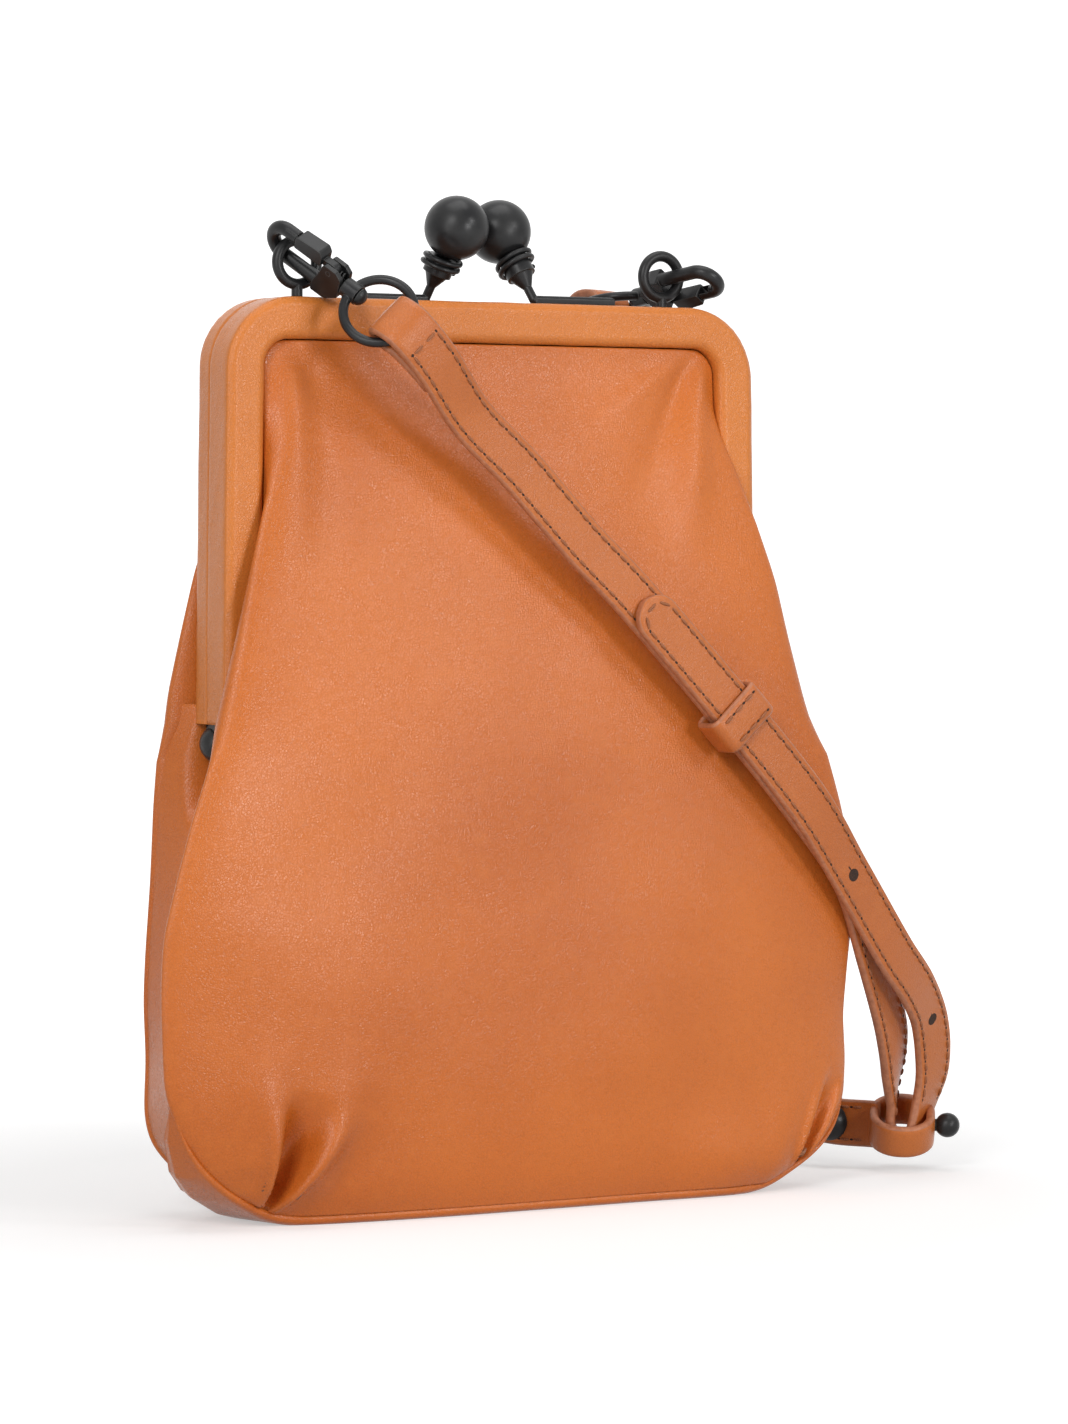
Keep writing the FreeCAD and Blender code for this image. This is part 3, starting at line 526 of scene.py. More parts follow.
HALF_TURN = np.array([-1, -1, 1])
heights = np.concatenate([np.linspace(PANEL_FOOT, 40, 90), np.linspace(40.7, 195, 190),
                          np.linspace(195.6, PANEL_TOP, 60)])
front_grid = folded(panel_grid(FRONT, heights, FRONT_DEPTH), FRONT_PLEATS, FRONT_FOLDS, (3.7, 1.4))
back_grid = folded(panel_grid(BACK, heights, BACK_DEPTH), BACK_PLEATS + mirrored(BACK_PLEATS),
                   BACK_FOLDS + mirrored(BACK_FOLDS), (9.1, 6.2)) * HALF_TURN

for grid, name in ((front_grid, "front"), (back_grid, "back")):
    wall = shell(name + "_panel", grid, WALL_THICKNESS, [POUCH, FLESH])
    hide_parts(name + "_panel_lower", name + "_panel_upper")
    cloth_wall = shell(name + "_lining", lining_grid(grid), LINING_THICKNESS, [LINING, LINING])
    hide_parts(name + "_lining_lower", name + "_lining_upper")
    for piece in (wall, cloth_wall):
        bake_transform(piece)


# Gussets, sewn under the walls' edges and tucked in under the hinges

SEWN_UNDER = 0.6
BEHIND_CREASE = STRIP - 5
FAR_COLUMN = front_grid.shape[1] - 1 - BEHIND_CREASE
GUSSET_LIFT = 15
LIFT_START = 60
TURN_IN = 13
EDGE_TURN_IN = 0.8
TURN_START = 97
under_front, under_back = (g - grid_normals(g) * SEWN_UNDER for g in (front_grid, back_grid))


def gusset_grid(side):
    """Side wall from the front crease, tucked in under the hinge, to the back crease."""
    levels = np.concatenate([np.linspace(PANEL_FOOT, 30, 70), np.linspace(30.8, SPLIT_HEIGHT, 90)])
    t = np.linspace(0, 1, 61)
    grid = np.zeros((len(levels), len(t), 3))
    near, far = (BEHIND_CREASE, FAR_COLUMN) if side < 0 else (FAR_COLUMN, BEHIND_CREASE)
    under_hinge = rise((t - 0.28) / 0.14) * (1 - rise((t - 0.68) / 0.14))
    lift = GUSSET_LIFT * (1 - under_hinge)
    for i, level in enumerate(levels):
        z = level + lift * rise((level - LIFT_START) / (SPLIT_HEIGHT - LIFT_START))
        front, back = (look_up(z, line[:, 2], line[:, :2])
                       for line in (under_front[:, near], under_back[:, far]))
        grid[i] = np.concatenate([front + (back - front) * t[:, None], z[:, None]], 1)
        tuck = np.interp(level, [0, 14, 30, 70, HINGE_HEIGHT], [0.4, 0.6, 2.2, 7.0, 9.5])
        turned = rise((level - TURN_START) / (SPLIT_HEIGHT - TURN_START)) ** 1.5
        inward = tuck * np.sin(np.pi * t) ** 1.2 + TURN_IN * turned * under_hinge + EDGE_TURN_IN * turned
        grid[i, :, 0] -= side * inward
    push = 0.8 * cloud(grid[..., 1], grid[..., 2], 30, 5.0 + side)
    grid[..., 0] += side * push * np.sin(np.pi * t)[None, :]
    return grid[:, ::-1] if side < 0 else grid


for side, name in ((-1, "left"), (1, "right")):
    grid = gusset_grid(side)
    seam = grid.shape[1] // 2
    order = ("back", "front") if side < 0 else ("front", "back")
    for half, part in zip(order, (grid[:, :seam + 1], grid[:, seam:])):
        gusset = shell(name + "_gusset_" + half, part, WALL_THICKNESS, [POUCH, FLESH])
        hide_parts(name + "_gusset")
        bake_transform(gusset)


# Base: a boat-shaped piece on the floor whose pointed ends come up at the corners

BASE_TIP = 33.0
BASE_COLUMNS = 241
BASE_ROWS = 45
BASE_SMOOTHING = 50
BASE_THICKNESS = 1.0
FLOOR_GAP = 0.05
# Steps from the left tip along the back edge
TIP_STEPS = [
    (1.2, 6.5, -9), (5, 11.5, -18), (12, 19, -24), (22, 26, -28.8), (34, 31, -31.6)]
BACK_FOOT = [(-58, 12.2, 1), (0, 15, 0.8), (58, 12.2, 1)]


def even_line(points, count):
    """A line of evenly spaced points through the given ones."""
    points = np.array(points, float)
    run = run_lengths(points)
    return look_up(np.linspace(0, run[-1], count), run, points)


def base_front():
    """Front edge of the base: down the left corner, along the foot and up the right corner."""
    rows = np.flatnonzero(heights < BASE_TIP)
    left, right = front_grid[rows[::-1], STRIP - 3], front_grid[rows, -STRIP + 2]
    line = np.concatenate([left, front_grid[0, STRIP:-STRIP], right])
    return smoothed(even_line(line, BASE_COLUMNS), BASE_SMOOTHING)


def base_back(front):
    """Back edge of the base: from its pointed tips round under the gussets to the back wall's foot."""
    left = [front[0] + np.array(step) for step in TIP_STEPS]
    right = [front[-1] + np.array((-x, y, z)) for x, y, z in reversed(TIP_STEPS)]
    return even_line([front[0], *left, *BACK_FOOT, *right, front[-1]], BASE_COLUMNS)


def base_grid():
    """Bottom wall from its back edge to its front edge, rolled over a little at the front."""
    front = base_front()
    back = base_back(front)
    share = np.linspace(-1, 1, BASE_COLUMNS)
    middle = 1 - rise((np.abs(share) - 0.52) / 0.3)
    corner = (1 - middle) * (1 - rise((np.abs(share) - 0.86) / 0.14))
    out = np.sign(share) * 0.5 * corner
    ahead = -0.9 * middle - 1.2 * corner
    down = -2.6 * middle - 1.5 * corner
    roll = np.stack([out, ahead, down], 1)
    grid = np.zeros((BASE_ROWS, BASE_COLUMNS, 3))
    for i, d in enumerate(np.linspace(0, 1, BASE_ROWS)):
        swell = sqrt(1 - (1 - min(d / 0.14, 1)) ** 2) * float(1 - rise((d - 0.8) / 0.2))
        grid[i] = front + (back - front) * d + roll * swell
    grid[..., 2] = np.maximum(grid[..., 2], FLOOR_GAP)
    return grid[::-1]


base = shell("base_wall", base_grid(), BASE_THICKNESS, [POUCH, FLESH])
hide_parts("base_panel")
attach(base, "pouch")


# Leather wrap of the frame halves: a rounded tube round each U-shaped bar

OUTER_CORNER = 19.0
BACK_CORNER = 18.0
BACK_INSET = 0.5
WRAP_THICKNESS = 1.15
WRAP_TURN = 2.6
SEAM_TURN = 0.9
FACE_GAP = 0.6
RIDGE_HEIGHT = 0.16
WRAP_SINK = 0.1
ARM_POINTS = 70
TURN_POINTS = 26
TOP_POINTS = 45


def u_line(half, corner, top):
    """A U from the left arm's foot over the top to the right arm's foot, as x and z."""
    bend = top - corner
    arm = [(-half, z) for z in np.linspace(ARM_FOOT, bend, ARM_POINTS, endpoint=False)]
    turn = [(-half + corner - corner * cos(a), bend + corner * sin(a))
            for a in np.linspace(0, pi / 2, TURN_POINTS, endpoint=False)]
    across = [(x, top) for x in np.linspace(-half + corner, 0, TOP_POINTS)]
    left = np.array(arm + turn + across)
    line = np.concatenate([left, (left * (-1, 1))[-2::-1]])
    line[:, 0] += np.sign(line[:, 0]) * ARM_FLARE * (FRAME_TOP - line[:, 1]) / (FRAME_TOP - ARM_FOOT)
    return line


def wrap_profile(depth, width):
    """Section of the wrap from seam to seam: across, depth and a mark where a ridge runs."""
    front, low, side = depth - WRAP_TURN, NEAR_FACE + SEAM_TURN, width - WRAP_TURN
    points = [(0, y, 0) for y in np.linspace(low, front, 9)]
    for a in np.radians(np.linspace(9, 90, 10)):
        ridge = exp(-((degrees(a) - 30) / 11) ** 2)
        points.append((WRAP_TURN - WRAP_TURN * cos(a), front + WRAP_TURN * sin(a), ridge))
    points += [(x, depth, 0) for x in np.linspace(WRAP_TURN + FACE_GAP, side - FACE_GAP, 7)]
    for a in np.radians(np.linspace(90, 0, 10)):
        points.append((side + WRAP_TURN * cos(a), front + WRAP_TURN * sin(a), 0))
    points += [(width, y, 0) for y in np.linspace(front - FACE_GAP, low, 8)]
    for a in np.radians((-30, -60, -90)):
        points.append((width - SEAM_TURN + SEAM_TURN * cos(a), low + SEAM_TURN * sin(a), 0))
    inside = np.linspace(width - SEAM_TURN - FACE_GAP, SEAM_TURN + FACE_GAP, 7)
    points += [(x, NEAR_FACE, 0) for x in inside]
    for a in np.radians((-90, -60, -30)):
        points.append((SEAM_TURN - SEAM_TURN * cos(a), low + SEAM_TURN * sin(a), 0))
    return np.array(points)


def wrap_waves(skin, way):
    """Slight unevenness of the wrap, and puckers where it turns the outer corners."""
    x, y, z = np.abs(skin[..., 0]), skin[..., 1], skin[..., 2]
    waves = 0.10 * cloud(skin[..., 0] + 40 * way, z + 3 * y, 7, 2.3)
    slack = np.exp(-((x - 72) / 7) ** 2) * np.exp(-((z - 226) / 8) ** 2)
    return waves + 0.05 * slack * np.sin(np.arctan2(z - 217, x - 60) * 34)


def frame_wrap(name, depth, way, half, corner):
    """The wrap of one frame half, with an inner skin; way is -1 at the front and 1 at the back."""
    outer = u_line(half, corner, FRAME_TOP)
    inner = u_line(INNER_X, INNER_CORNER, BAND_BOTTOM)
    width = HALF_WIDTH - INNER_X
    profile = wrap_profile(depth, width)
    columns, rows = len(profile), len(outer)
    skins = []
    for inset in (0.0, WRAP_THICKNESS):
        a = inset / width + profile[:, 0] / width * (1 - 2 * inset / width)
        y = NEAR_FACE + inset + (profile[:, 1] - NEAR_FACE) * (1 - 2 * inset / (depth - NEAR_FACE))
        flat = outer[:, None] + (inner - outer)[:, None] * a[:, None]
        deep = np.broadcast_to(way * y, flat.shape[:2])
        skins.append(np.stack([flat[..., 0], deep, flat[..., 1]], 2))
    skin = skins[0]
    out = unit(skin - skin.mean(axis=1, keepdims=True))
    lift = wrap_waves(skin, way) + RIDGE_HEIGHT * profile[:, 2][None, :] - WRAP_SINK
    skin += out * lift[..., None]
    count = rows * columns
    faces = grid_faces(rows, columns, 0, way < 0, True) + grid_faces(rows, columns, count, way > 0, True)
    for start in (0, (rows - 1) * columns):
        for c in range(columns):
            d = (c + 1) % columns
            faces.append([start + c, start + d, count + start + d, count + start + c])
    return make_object(name, np.concatenate([g.reshape(-1, 3) for g in skins]), faces, [WRAP])


for name, depth, way, half, corner in (("front", FRONT_DEPTH, -1, HALF_WIDTH, OUTER_CORNER),
                                       ("back", BACK_DEPTH, 1, HALF_WIDTH - BACK_INSET, BACK_CORNER)):
    wrap = frame_wrap(name + "_wrap", depth, way, half, corner)
    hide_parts(name + "_frame_leather")
    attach(wrap, name + "_frame")


# Straps: smooth ribbons through given stations, each a point and the way the strap's face looks

SPLINE_STEP = 1.0
FACE_SMOOTHING = 6
EDGE_TURN = 0.7
CROWN = 0.18
EDGE_LESS = 0.12
NARROWEST = 0.12


def between(a, b, from_knot, to_knot, t):
    """The place at t between a at the first knot and b at the second."""
    return a * (to_knot - t) / (to_knot - from_knot) + b * (t - from_knot) / (to_knot - from_knot)


def along_spline(stations):
    """Points, tangents, ways across, ways out and lengths along a smooth curve through the stations."""
    points = np.array([s[0] for s in stations], float)
    faces = unit([s[1] for s in stations])
    ends = np.concatenate([[2 * points[0] - points[1]], points, [2 * points[-1] - points[-2]]])
    knots = run_lengths(ends, 0.5)
    out, looks = [], []
    for i in range(1, len(points)):
        p0, p1, p2, p3 = ends[i - 1:i + 3]
        k0, k1, k2, k3 = knots[i - 1:i + 3]
        count = max(int(np.linalg.norm(p2 - p1) / SPLINE_STEP), 2)
        for t in np.linspace(k1, k2, count, endpoint=False):
            a1 = between(p0, p1, k0, k1, t)
            a2 = between(p1, p2, k1, k2, t)
            a3 = between(p2, p3, k2, k3, t)
            b1 = between(a1, a2, k0, k2, t)
            b2 = between(a2, a3, k1, k3, t)
            out.append(between(b1, b2, k1, k2, t))
            share = (t - k1) / (k2 - k1)
            looks.append(faces[i - 1] * (1 - share) + faces[i] * share)
    out = np.array(out + [points[-1]])
    looks = smoothed(np.array(looks + [faces[-1]]), FACE_SMOOTHING)
    tangent = unit(np.gradient(out, axis=0))
    across = unit(np.cross(looks, tangent))
    return {"points": out, "along": tangent, "across": across, "out": np.cross(tangent, across),
            "length": run_lengths(out)}


def ribbon_section(width, thickness, flat_points):
    """Rounded strap section as (across, out) pairs, with a mark on its edge points."""
    half, high = width / 2, thickness / 2
    flat = half - EDGE_TURN
    points, edge = [], []
    for x in np.linspace(-flat, flat, flat_points):
        points.append((x, high + CROWN * (1 - (x / half) ** 2)))
        edge.append(False)
    for angle in np.radians([60, 30, 0, -30, -60]):
        points.append((flat + EDGE_TURN * cos(angle), (high - EDGE_LESS) * sin(angle)))
        edge.append(True)
    points += [(-x, -y) for x, y in points]
    return np.array(points), edge + edge


def edge_faces(edge):
    """Which faces round a section belong to its cut edges, as material indices."""
    return [int(a or b) for a, b in zip(edge, edge[1:] + edge[:1])]


def ribbon(name, line, round_tip):
    """A strap along a line; a round tip narrows over the last half width."""
    section, edge = ribbon_section(STRAP_WIDTH, STRAP_THICKNESS, 9)
    half = STRAP_WIDTH / 2
    rows = []
    for i, s in enumerate(line["length"]):
        left = line["length"][-1] - s
        narrow = 1.0
        if round_tip and left < half:
            narrow = max(sqrt(max(half ** 2 - (half - left) ** 2, 0)) / half, NARROWEST)
        sideways = section[:, :1] * narrow * line["across"][i]
        rows.append(line["points"][i] + sideways + section[:, 1:] * line["out"][i])
    columns = len(section)
    faces = grid_faces(len(rows), columns, closed=True)
    faces.append(list(range(columns))[::-1])
    faces.append(list(range((len(rows) - 1) * columns, len(rows) * columns)))
    indices = edge_faces(edge) * (len(rows) - 1) + [1, 1]
    return make_object(name, np.concatenate(rows), faces, [STRAP, EDGE], indices)


def at_length(line, s):
    """Point, tangent, way across and way out at a length along a line."""
    return [look_up(s, line["length"], line[key]) for key in ("points", "along", "across", "out")]


def nearest(line, point, low=0.0):
    """Length along a line, past a low limit, where it comes nearest to a point."""
    distance = np.linalg.norm(line["points"] - np.array(point), axis=1)
    distance[line["length"] < low] = np.inf
    return line["length"][int(distance.argmin())]


# Sewing

STITCH_RADIUS = 0.4
STITCH_SIDES = 6
# Rings of a stitch: share of its length, share of its radius, height in radii
STITCH_RINGS = [
    (0.0, 0.35, -0.35), (0.12, 0.85, 0.0), (0.35, 1.0, 0.25), (0.65, 1.0, 0.25), (0.88, 0.85, 0.0),
    (1.0, 0.35, -0.35)]
STITCH_GAP = 1.3
STITCH_LIFT = 0.12
HOLE_LIFT = 0.07
NEEDLE_RADIUS = 0.5
NEEDLE_SQUEEZE = 0.62
SURFACE = STRAP_THICKNESS / 2 + 0.05
EDGE_LINE = STRAP_WIDTH / 2 - 2.0


def stitch(start, end, lift):
    """A short thread that rises from its hole and dips into the next."""
    length = np.linalg.norm(end - start)
    way = (end - start) / length
    side = unit(np.cross(way, lift))
    points = []
    for t, r, h in STITCH_RINGS:
        middle = start + way * length * t + lift * (h * STITCH_RADIUS)
        for k in range(STITCH_SIDES):
            angle = 2 * pi * k / STITCH_SIDES
            points.append(middle + (side * cos(angle) + lift * sin(angle)) * STITCH_RADIUS * r)
    return np.array(points), grid_faces(len(STITCH_RINGS), STITCH_SIDES, closed=True)


def disc(middle, lift, way, radius, squeeze=1.0, sides=10):
    """A flat dark disc lying on the leather: the painted shade of a hole."""
    side = np.cross(lift, way)
    ring = [middle + (way * cos(a) + side * sin(a) * squeeze) * radius
            for a in np.linspace(0, 2 * pi, sides, endpoint=False)]
    return np.array(ring + [middle - lift * 0.01]), [[k, (k + 1) % sides, sides] for k in range(sides)]


class Sewing:
    """Collects stitches, and discs of painted shade for holes, into one mesh."""

    def __init__(self):
        self.points, self.faces, self.indices, self.count = [], [], [], 0

    def put(self, points, faces, index):
        self.points.append(points)
        self.faces += [[v + self.count for v in face] for face in faces]
        self.indices += [index] * len(faces)
        self.count += len(points)

    def seam(self, spots, lifts, pitch=3.8):
        """Stitches and needle holes, the holes as discs of painted shade, along a line of spots, with the
        way that each looks.
        """
        spots, lifts = np.array(spots), np.array(lifts)
        run = run_lengths(spots)
        count = max(int(run[-1] / pitch), 1)
        real = run[-1] / count

        def at(s):
            return look_up(s, run, spots), unit(look_up(s, run, lifts))

        for i in range(count):
            a, lift = at(i * real + STITCH_GAP / 2)
            b, _ = at((i + 1) * real - STITCH_GAP / 2)
            self.put(*stitch(a + lift * STITCH_LIFT, b + lift * STITCH_LIFT, lift), 0)
            # Each needle hole is a disc of painted shade.
            hole, lift = at(i * real)
            self.put(*disc(hole + lift * HOLE_LIFT, lift, unit(b - a), NEEDLE_RADIUS, NEEDLE_SQUEEZE), 1)

    def finish(self, name):
        return make_object(name, np.concatenate(self.points), self.faces, [THREAD, HOLE_SHADE], self.indices)


def strap_seams(sewing, line, start, end, surface):
    """A seam along each edge of a strap, on its front for a surface above 0 and else on its back."""
    for side in (-1, 1):
        spots, lifts = [], []
        for s in np.arange(start, end, 1.0):
            spot, _, across, out = at_length(line, s)
            spots.append(spot + across * side * EDGE_LINE + out * surface)
            lifts.append(out * np.sign(surface))
        sewing.seam(spots, lifts)


def cross_seam(sewing, line, s):
    """A seam across a strap's front."""
    spot, _, across, out = at_length(line, s)
    ends = [spot + across * side * EDGE_LINE + out * SURFACE for side in (-1, 1)]
    sewing.seam(ends, [out, out])


def tip_seam(sewing, line):
    """A half round seam at the tip, on the strap's back."""
    middle, along, across, out = at_length(line, line["length"][-1] - STRAP_WIDTH / 2)
    spots = [middle + (across * sin(angle) + along * cos(angle)) * EDGE_LINE - out * SURFACE
             for angle in np.radians(np.arange(-90, 91, 15))]
    sewing.seam(spots, [-out] * len(spots))


# Straps' ends, folded over the rings of the hooks

RING_REACH = 40.3
FOLD_RADIUS = 2.95
FOLD_BEND = 3.17
FOLD_PAST = 1.25
LAP = 1.45
SEWN_AT = 8.06
TAIL_AT = 13.0


def ring_fold(hook, hook_way, strap_way, across):
    """Stations of a strap end that comes up behind a hook's ring, over its wire and down in front."""
    hook_way, strap_way = unit(hook_way), unit(strap_way)
    wire = np.array(hook) + hook_way * RING_REACH
    over, front = unit(np.cross(hook_way, across)), unit(np.cross(strap_way, across))
    bend, past = wire - hook_way * FOLD_BEND, wire + hook_way * FOLD_PAST
    lapped = past + hook_way * LAP
    sewn, tail = lapped + strap_way * SEWN_AT, lapped + strap_way * TAIL_AT
    stations = [(tail - front * LAP, -front), (sewn - front * LAP, -front),
                (past - over * FOLD_RADIUS, -over)]
    for angle in np.radians([-90, -45, 0, 45, 90]):
        way = over * sin(angle) - hook_way * cos(angle)
        stations.append((bend + way * FOLD_RADIUS, way))
    return stations + [(past + over * FOLD_RADIUS, over), (sewn + front * LAP, front)]


# Routes of the two straps

FRONT_FACE = (0, -1, 0)
BACK_FACE = (0, 1, 0)
LOOP_FACE = (0.82, -0.57, 0)
RETURN_FACE = (-0.1, 1, 0)
KEEPER_TOP = np.array([29.4, -32.14, 157.54])
KEEPER_FOOT = np.array([80.1, -32.4, 104.17])
LAYER = np.array([0, -2.9, 0])
UPPER_HOLE = (96.2, -31.1, 84.5)
LOWER_HOLE = (133.2, -14.3, 43.2)
LOOP_TURN = (133.7, -1.3, 8.0)

long_fold = ring_fold((-59.26, -6.18, 248.85), (0.5005, -0.6502, -0.5715), (0.70, 0.05, -0.71),
                      (0.713, -0.065, 0.698))
short_fold = ring_fold((66.10, -4.89, 242.44), (-0.2620, 0.9551, -0.1381), (0, 0.6, -0.8), (-1, 0, 0))
upper_route = [
    ((-19.4, -31.15, 204.2), FRONT_FACE), ((-4.9, -30.84, 191.24), FRONT_FACE),
    ((12.9, -31.25, 173.08), FRONT_FACE), (KEEPER_TOP, FRONT_FACE), (KEEPER_FOOT, FRONT_FACE)]
inner_route = [
    ((98.2, -28, 83.7), (0.22, -1, 0)), ((110.35, -20.93, 62), (0.3, -1, 0)),
    ((124.2, -10, 38.5), (0.3, -1, 0)), ((128.2, -4.8, 29), (0.5, -0.9, 0)),
    ((130.9, 0, 19.5), LOOP_FACE), ((131.2, 0.6, 11.5), LOOP_FACE), (LOOP_TURN, (0, 0, 1))]
outer_route = [
    ((136.2, -3.2, 11.5), (-0.7, 0.7, 0)), ((138.8, -4.6, 19.5), (-0.5, 0.85, 0)),
    ((139.4, -6.8, 26), (-0.3, 1, 0)), ((137.9, -9.6, 33), (-0.15, 1, 0)),
    ((133.6, -14, 42.5), RETURN_FACE), ((125.4, -20.4, 51.8), RETURN_FACE),
    ((114.2, -25.83, 62.4), RETURN_FACE), (UPPER_HOLE, RETURN_FACE), (KEEPER_FOOT + LAYER, BACK_FACE),
    (KEEPER_TOP + LAYER, BACK_FACE)]
short_route = [
    ((55.4, 47, 222), (0, 1, 0.3)), ((56.8, 48, 210), BACK_FACE), ((59.5, 44.5, 188), BACK_FACE),
    ((62.5, 38.5, 155), BACK_FACE), ((66.3, 33, 122), BACK_FACE), ((71, 30, 92), BACK_FACE),
    ((78, 29.5, 65), BACK_FACE), ((88.5, 29.5, 41), BACK_FACE), ((101, 28, 24), (0.2, 1, 0)),
    ((112, 23.5, 15.5), (0.5, 1, 0)), ((120.5, 14.5, 12.8), (1, 0.75, 0)),
    ((126.9, 4.6, 12.5), (1, 0.62, 0)), ((128.2, 2.6, 12.4), (1, 0.62, 0))]

long_line = along_spline(long_fold + upper_route + inner_route + outer_route)
long_strap = ribbon("long_strap_ribbon", long_line, True)
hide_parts("long_strap")
short_line = along_spline(short_fold + short_route)
short_strap = ribbon("short_strap_ribbon", short_line, False)
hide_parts("short_strap")

# Where the seams start and stop, before and after the folds, the turn in the loop and the ends
FOLD_LENGTH = 20
TAB_LENGTH = 6.0
BEFORE_TURN = 8
AFTER_TURN = 14
BEFORE_TIP = 5.5
BEFORE_END = 3
AFTER_FOLD = 1.0
BEHIND_FOLD = 14.0
HOLES_AFTER_TURN = 10
long_end = long_line["length"][-1]
turn_length = nearest(long_line, LOOP_TURN)
tab_start = nearest(long_line, long_fold[-1][0], FOLD_LENGTH) - TAB_LENGTH
sewing = Sewing()
cross_seam(sewing, long_line, tab_start)
strap_seams(sewing, long_line, tab_start, turn_length - BEFORE_TURN, SURFACE)
strap_seams(sewing, long_line, turn_length + AFTER_TURN, long_end - BEFORE_TIP, -SURFACE)
tip_seam(sewing, long_line)
long_thread = sewing.finish("long_strap_thread")

short_start = nearest(short_line, short_fold[-1][0], FOLD_LENGTH)
short_end = short_line["length"][-1] - BEFORE_END
sewing = Sewing()
cross_seam(sewing, short_line, short_start + AFTER_FOLD)
strap_seams(sewing, short_line, short_start + AFTER_FOLD, short_end, SURFACE)
strap_seams(sewing, short_line, short_start + BEHIND_FOLD, short_end, -SURFACE)
short_thread = sewing.finish("short_strap_thread")

# Punched stud holes with a slit, on the strap's outer layer, drawn as discs of painted shade
PUNCH_RADIUS = 1.75
PUNCH_LIFT = 0.16
SLIT_RADIUS = 2.6
SLIT_AT = 3.2
SLIT_SQUEEZE = 0.09
stud_hole_shades = Sewing()
for target in (UPPER_HOLE, LOWER_HOLE):
    length = nearest(long_line, target, turn_length + HOLES_AFTER_TURN)
    point, along, _, out = at_length(long_line, length)
    spot = point - out * (SURFACE + PUNCH_LIFT)
    # Painted shade of the hole and of its slit.
    stud_hole_shades.put(*disc(spot, -out, along, PUNCH_RADIUS, sides=20), 1)
    stud_hole_shades.put(*disc(spot + along * SLIT_AT, -out, along, SLIT_RADIUS, SLIT_SQUEEZE, sides=16), 1)
stud_hole_shade_mesh = stud_hole_shades.finish("stud_hole_shade")
for piece in (long_strap, long_thread, stud_hole_shade_mesh):
    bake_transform(piece)
for piece in (short_strap, short_thread):
    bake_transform(piece)


# Keeper and loop: leather bands round the strap

BAND_STEP = 0.8
KEEPER_SHARE = 0.57
KEEPER_PITCH = 3.2
KEEPER_SEAM_IN = 1.9
KEEPER_SEAM_SHORT = 1.6
KEEPER_SEAM_LIFT = 0.2


def band_axes(along, face):
    """Unit vectors along the strap, out of its face and across it."""
    along = unit(along)
    out = unit(np.array(face, float) - along * np.dot(face, along))
    return along, out, np.cross(along, out)


def band_path(wide, deep, turn):
    """A rounded rectangle of half sizes wide and deep, as close points and the way out at each."""
    path, outs = [], []
    for x, y, begin in ((wide - turn, deep - turn, 0), (-wide + turn, deep - turn, 90),
                        (-wide + turn, -deep + turn, 180), (wide - turn, -deep + turn, 270)):
        for angle in np.radians(np.linspace(begin, begin + 90, 9)):
            out = np.array((cos(angle), sin(angle)))
            path.append(np.array((x, y)) + turn * out)
            outs.append(out)
    for i, (spot, out) in enumerate(zip(path, outs)):
        j = (i + 1) % len(path)
        steps = max(int(np.linalg.norm(path[j] - spot) / BAND_STEP), 1)
        for t in np.linspace(0, 1, steps, endpoint=False):
            yield spot * (1 - t) + path[j] * t, out * (1 - t) + outs[j] * t


def band(name, middle, along, face, length, inner_width, inner_depth, thickness, inner_turn):
    """A leather band round a strap, with room inside."""
    along, face, across = band_axes(along, face)
    wide, deep, turn = ((size + thickness) / 2 for size in (inner_width, inner_depth, 2 * inner_turn))
    section, edge = ribbon_section(length, thickness, 7)
    rows = []
    for (x, y), (out_x, out_y) in band_path(wide, deep, turn):
        spot = np.array(middle) + across * x + face * y
        out = unit(across * out_x + face * out_y)
        rows.append(spot + section[:, :1] * along + section[:, 1:] * out)
    total = len(rows) * len(section)
    quads = grid_faces(len(rows) + 1, len(section), closed=True)
    faces = [[a % total, d % total, c % total, b % total] for a, b, c, d in quads]
    return make_object(name, np.concatenate(rows), faces, [STRAP, EDGE], edge_faces(edge) * len(rows))


def keeper_seams(name):
    """A seam along each edge of the keeper's face."""
    along, face, across = band_axes(keeper_along, FRONT_FACE)
    reach = (KEEPER["inner_width"] + KEEPER["thickness"]) / 2 - KEEPER_SEAM_SHORT
    high = KEEPER["inner_depth"] / 2 + KEEPER["thickness"] + KEEPER_SEAM_LIFT
    sewing = Sewing()
    for side in (-1, 1):
        edge = keeper_middle + face * high + along * side * (KEEPER["length"] / 2 - KEEPER_SEAM_IN)
        line = [edge + across * x for x in np.linspace(-reach, reach, 9)]
        sewing.seam(line, [face] * len(line), KEEPER_PITCH)
    return sewing.finish(name)


KEEPER = {"length": 10.3, "inner_width": STRAP_WIDTH + 1.0, "inner_depth": 7.0, "thickness": 1.6,
          "inner_turn": 0.9}
LOOP = {"length": 9.5, "inner_width": STRAP_WIDTH + 2.2, "inner_depth": 13.4, "thickness": 2.2,
        "inner_turn": 6.2}
keeper_along = KEEPER_FOOT - KEEPER_TOP
keeper_middle = KEEPER_TOP + keeper_along * KEEPER_SHARE + LAYER / 2
keeper = band("keeper_band", keeper_middle, keeper_along, FRONT_FACE, **KEEPER)
keeper_thread = keeper_seams("keeper_band_thread")
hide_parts("strap_keeper")
for piece in (keeper, keeper_thread):
    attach(piece, "keeper")
loop = band("loop_band", (133.4, -1.2, 12.3), (-0.21, -0.37, 0.906), LOOP_FACE, **LOOP)
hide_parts("strap_loop")
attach(loop, "pouch")


# Carried-over solids get their materials and smooth shading

SHARP_ANGLE = 35
REPLACED = {"left_gusset", "right_gusset", "base_panel", "long_strap", "short_strap", "strap_keeper",
            "strap_loop", "front_frame_leather", "back_frame_leather"}
REPLACED |= {half + kind + level for half in ("front", "back") for kind in ("_panel", "_lining")
             for level in ("_lower", "_upper")}


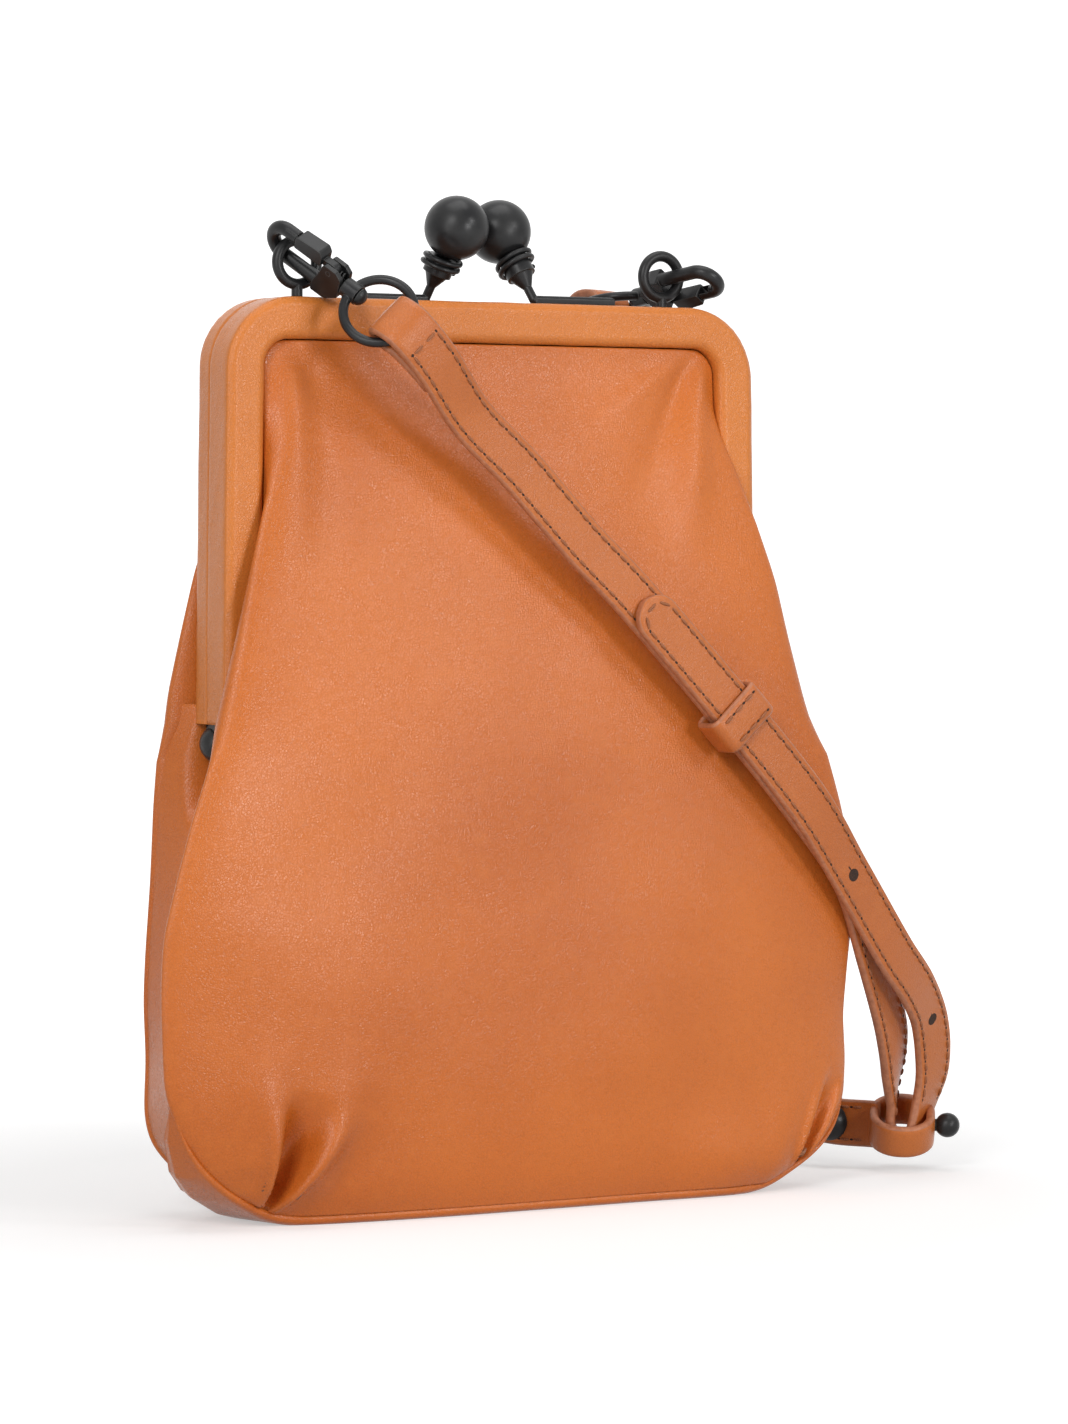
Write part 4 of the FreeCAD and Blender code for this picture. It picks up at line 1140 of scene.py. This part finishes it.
def dress(mesh, material):
    """One material, and smooth faces up to the sharp angle."""
    mesh.materials.clear()
    mesh.materials.append(material)
    mesh.polygons.foreach_set("material_index", [0] * len(mesh.polygons))
    mesh.polygons.foreach_set("use_smooth", [True] * len(mesh.polygons))
    mesh.set_sharp_from_angle(angle=radians(SHARP_ANGLE))


for name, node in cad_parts.items():
    if name not in REPLACED:
        dress(node.data, BOARD if name == "base_board" else METAL)


# Floor, camera and light, in metres

FLOOR_SIDE = 4.0
FLOOR_FRONT = -3.0
FLOOR_BEND = 1.2
BEND_RADIUS = 0.8
BACKDROP_TOP = 3.5


def stage_material():
    """White paper that keeps the shadow near the purse and turns plain white further off."""
    material, tree, shader = new_material("studio_white")
    reach = operate(tree, "ShaderNodeVectorMath", "LENGTH", object_place(tree))
    glow = ramp(tree, reach.outputs["Value"], [(0.14, 0.45), (0.5, 1.0)])
    strength = operate(tree, "ShaderNodeMath", "MULTIPLY", seen_rays(tree), glow)
    tree.links.new(strength.outputs[0], shader.inputs["Emission Strength"])
    set_inputs(shader, Emission_Color=(1, 1, 1, 1), Base_Color=(0.6, 0.6, 0.6, 1), Roughness=0.9,
               Specular_IOR_Level=0.1)
    return material


def sweep_floor():
    """Floor that curves up into a backdrop."""
    profile = [(FLOOR_FRONT, 0.0), (FLOOR_BEND, 0.0)]
    for angle in np.radians(np.linspace(10, 90, 9)):
        y, z = FLOOR_BEND + BEND_RADIUS * sin(angle), BEND_RADIUS * (1 - cos(angle))
        profile.append((y, z))
    profile.append((FLOOR_BEND + BEND_RADIUS, BACKDROP_TOP))
    points = np.array([(x, y, z) for y, z in profile for x in (-FLOOR_SIDE, FLOOR_SIDE)])
    return make_object("studio_floor", points / MM, grid_faces(len(profile), 2), [stage_material()])


floor = sweep_floor()


def aimed(name, data, place, target):
    """A camera or a light at a place, looking at a target."""
    obj = bpy.data.objects.new(name, data)
    obj.location = place
    obj.rotation_euler = (Vector(target) - obj.location).to_track_quat("-Z", "Y").to_euler()
    bpy.context.scene.collection.objects.link(obj)
    return obj


def softbox(name, place, target, size, power):
    """A rectangular light."""
    data = bpy.data.lights.new(name, "AREA")
    data.shape = "RECTANGLE"
    data.size, data.size_y = size
    data.energy = power
    aimed(name, data, place, target)


def white_world():
    """Plain white where it is seen or mirrored, and a soft even light everywhere else."""
    world = bpy.data.worlds.new("studio")
    world.use_nodes = True
    tree = world.node_tree
    strength = ramp(tree, seen_rays(tree), [(0.0, 0.2), (1.0, 1.0)])
    background = tree.nodes["Background"]
    set_inputs(background, Color=(1, 1, 1, 1))
    tree.links.new(strength, background.inputs["Strength"])
    return world


camera_data = bpy.data.cameras.new("camera")
camera_data.sensor_fit = "VERTICAL"
camera_data.sensor_height = 36.0
camera_data.lens = 124.7
camera_data.clip_start = 0.05
camera = aimed("camera", camera_data, (-0.63278, -1.12528, 0.16859), (0.0169, 0.0, 0.12815))
bpy.context.scene.camera = camera

softbox("front_low", (0.34, -1.64, 0.34), (0, 0, 0.12), (0.3, 0.36), 8)
softbox("right_high", (0.75, -1.38, 0.80), (0, 0, 0.16), (0.36, 0.36), 5.6)
softbox("left_high", (-1.2, -1.1, 1.0), (0, 0, 0.13), (0.5, 0.7), 12)
softbox("left_strip", (-1.5, -0.84, 0.35), (0, 0, 0.14), (0.16, 0.9), 5)
softbox("top", (0.0, -0.1, 1.4), (0, 0, 0.15), (1.0, 0.8), 7)
bpy.context.scene.world = white_world()
bpy.context.scene.view_settings.view_transform = "Standard"
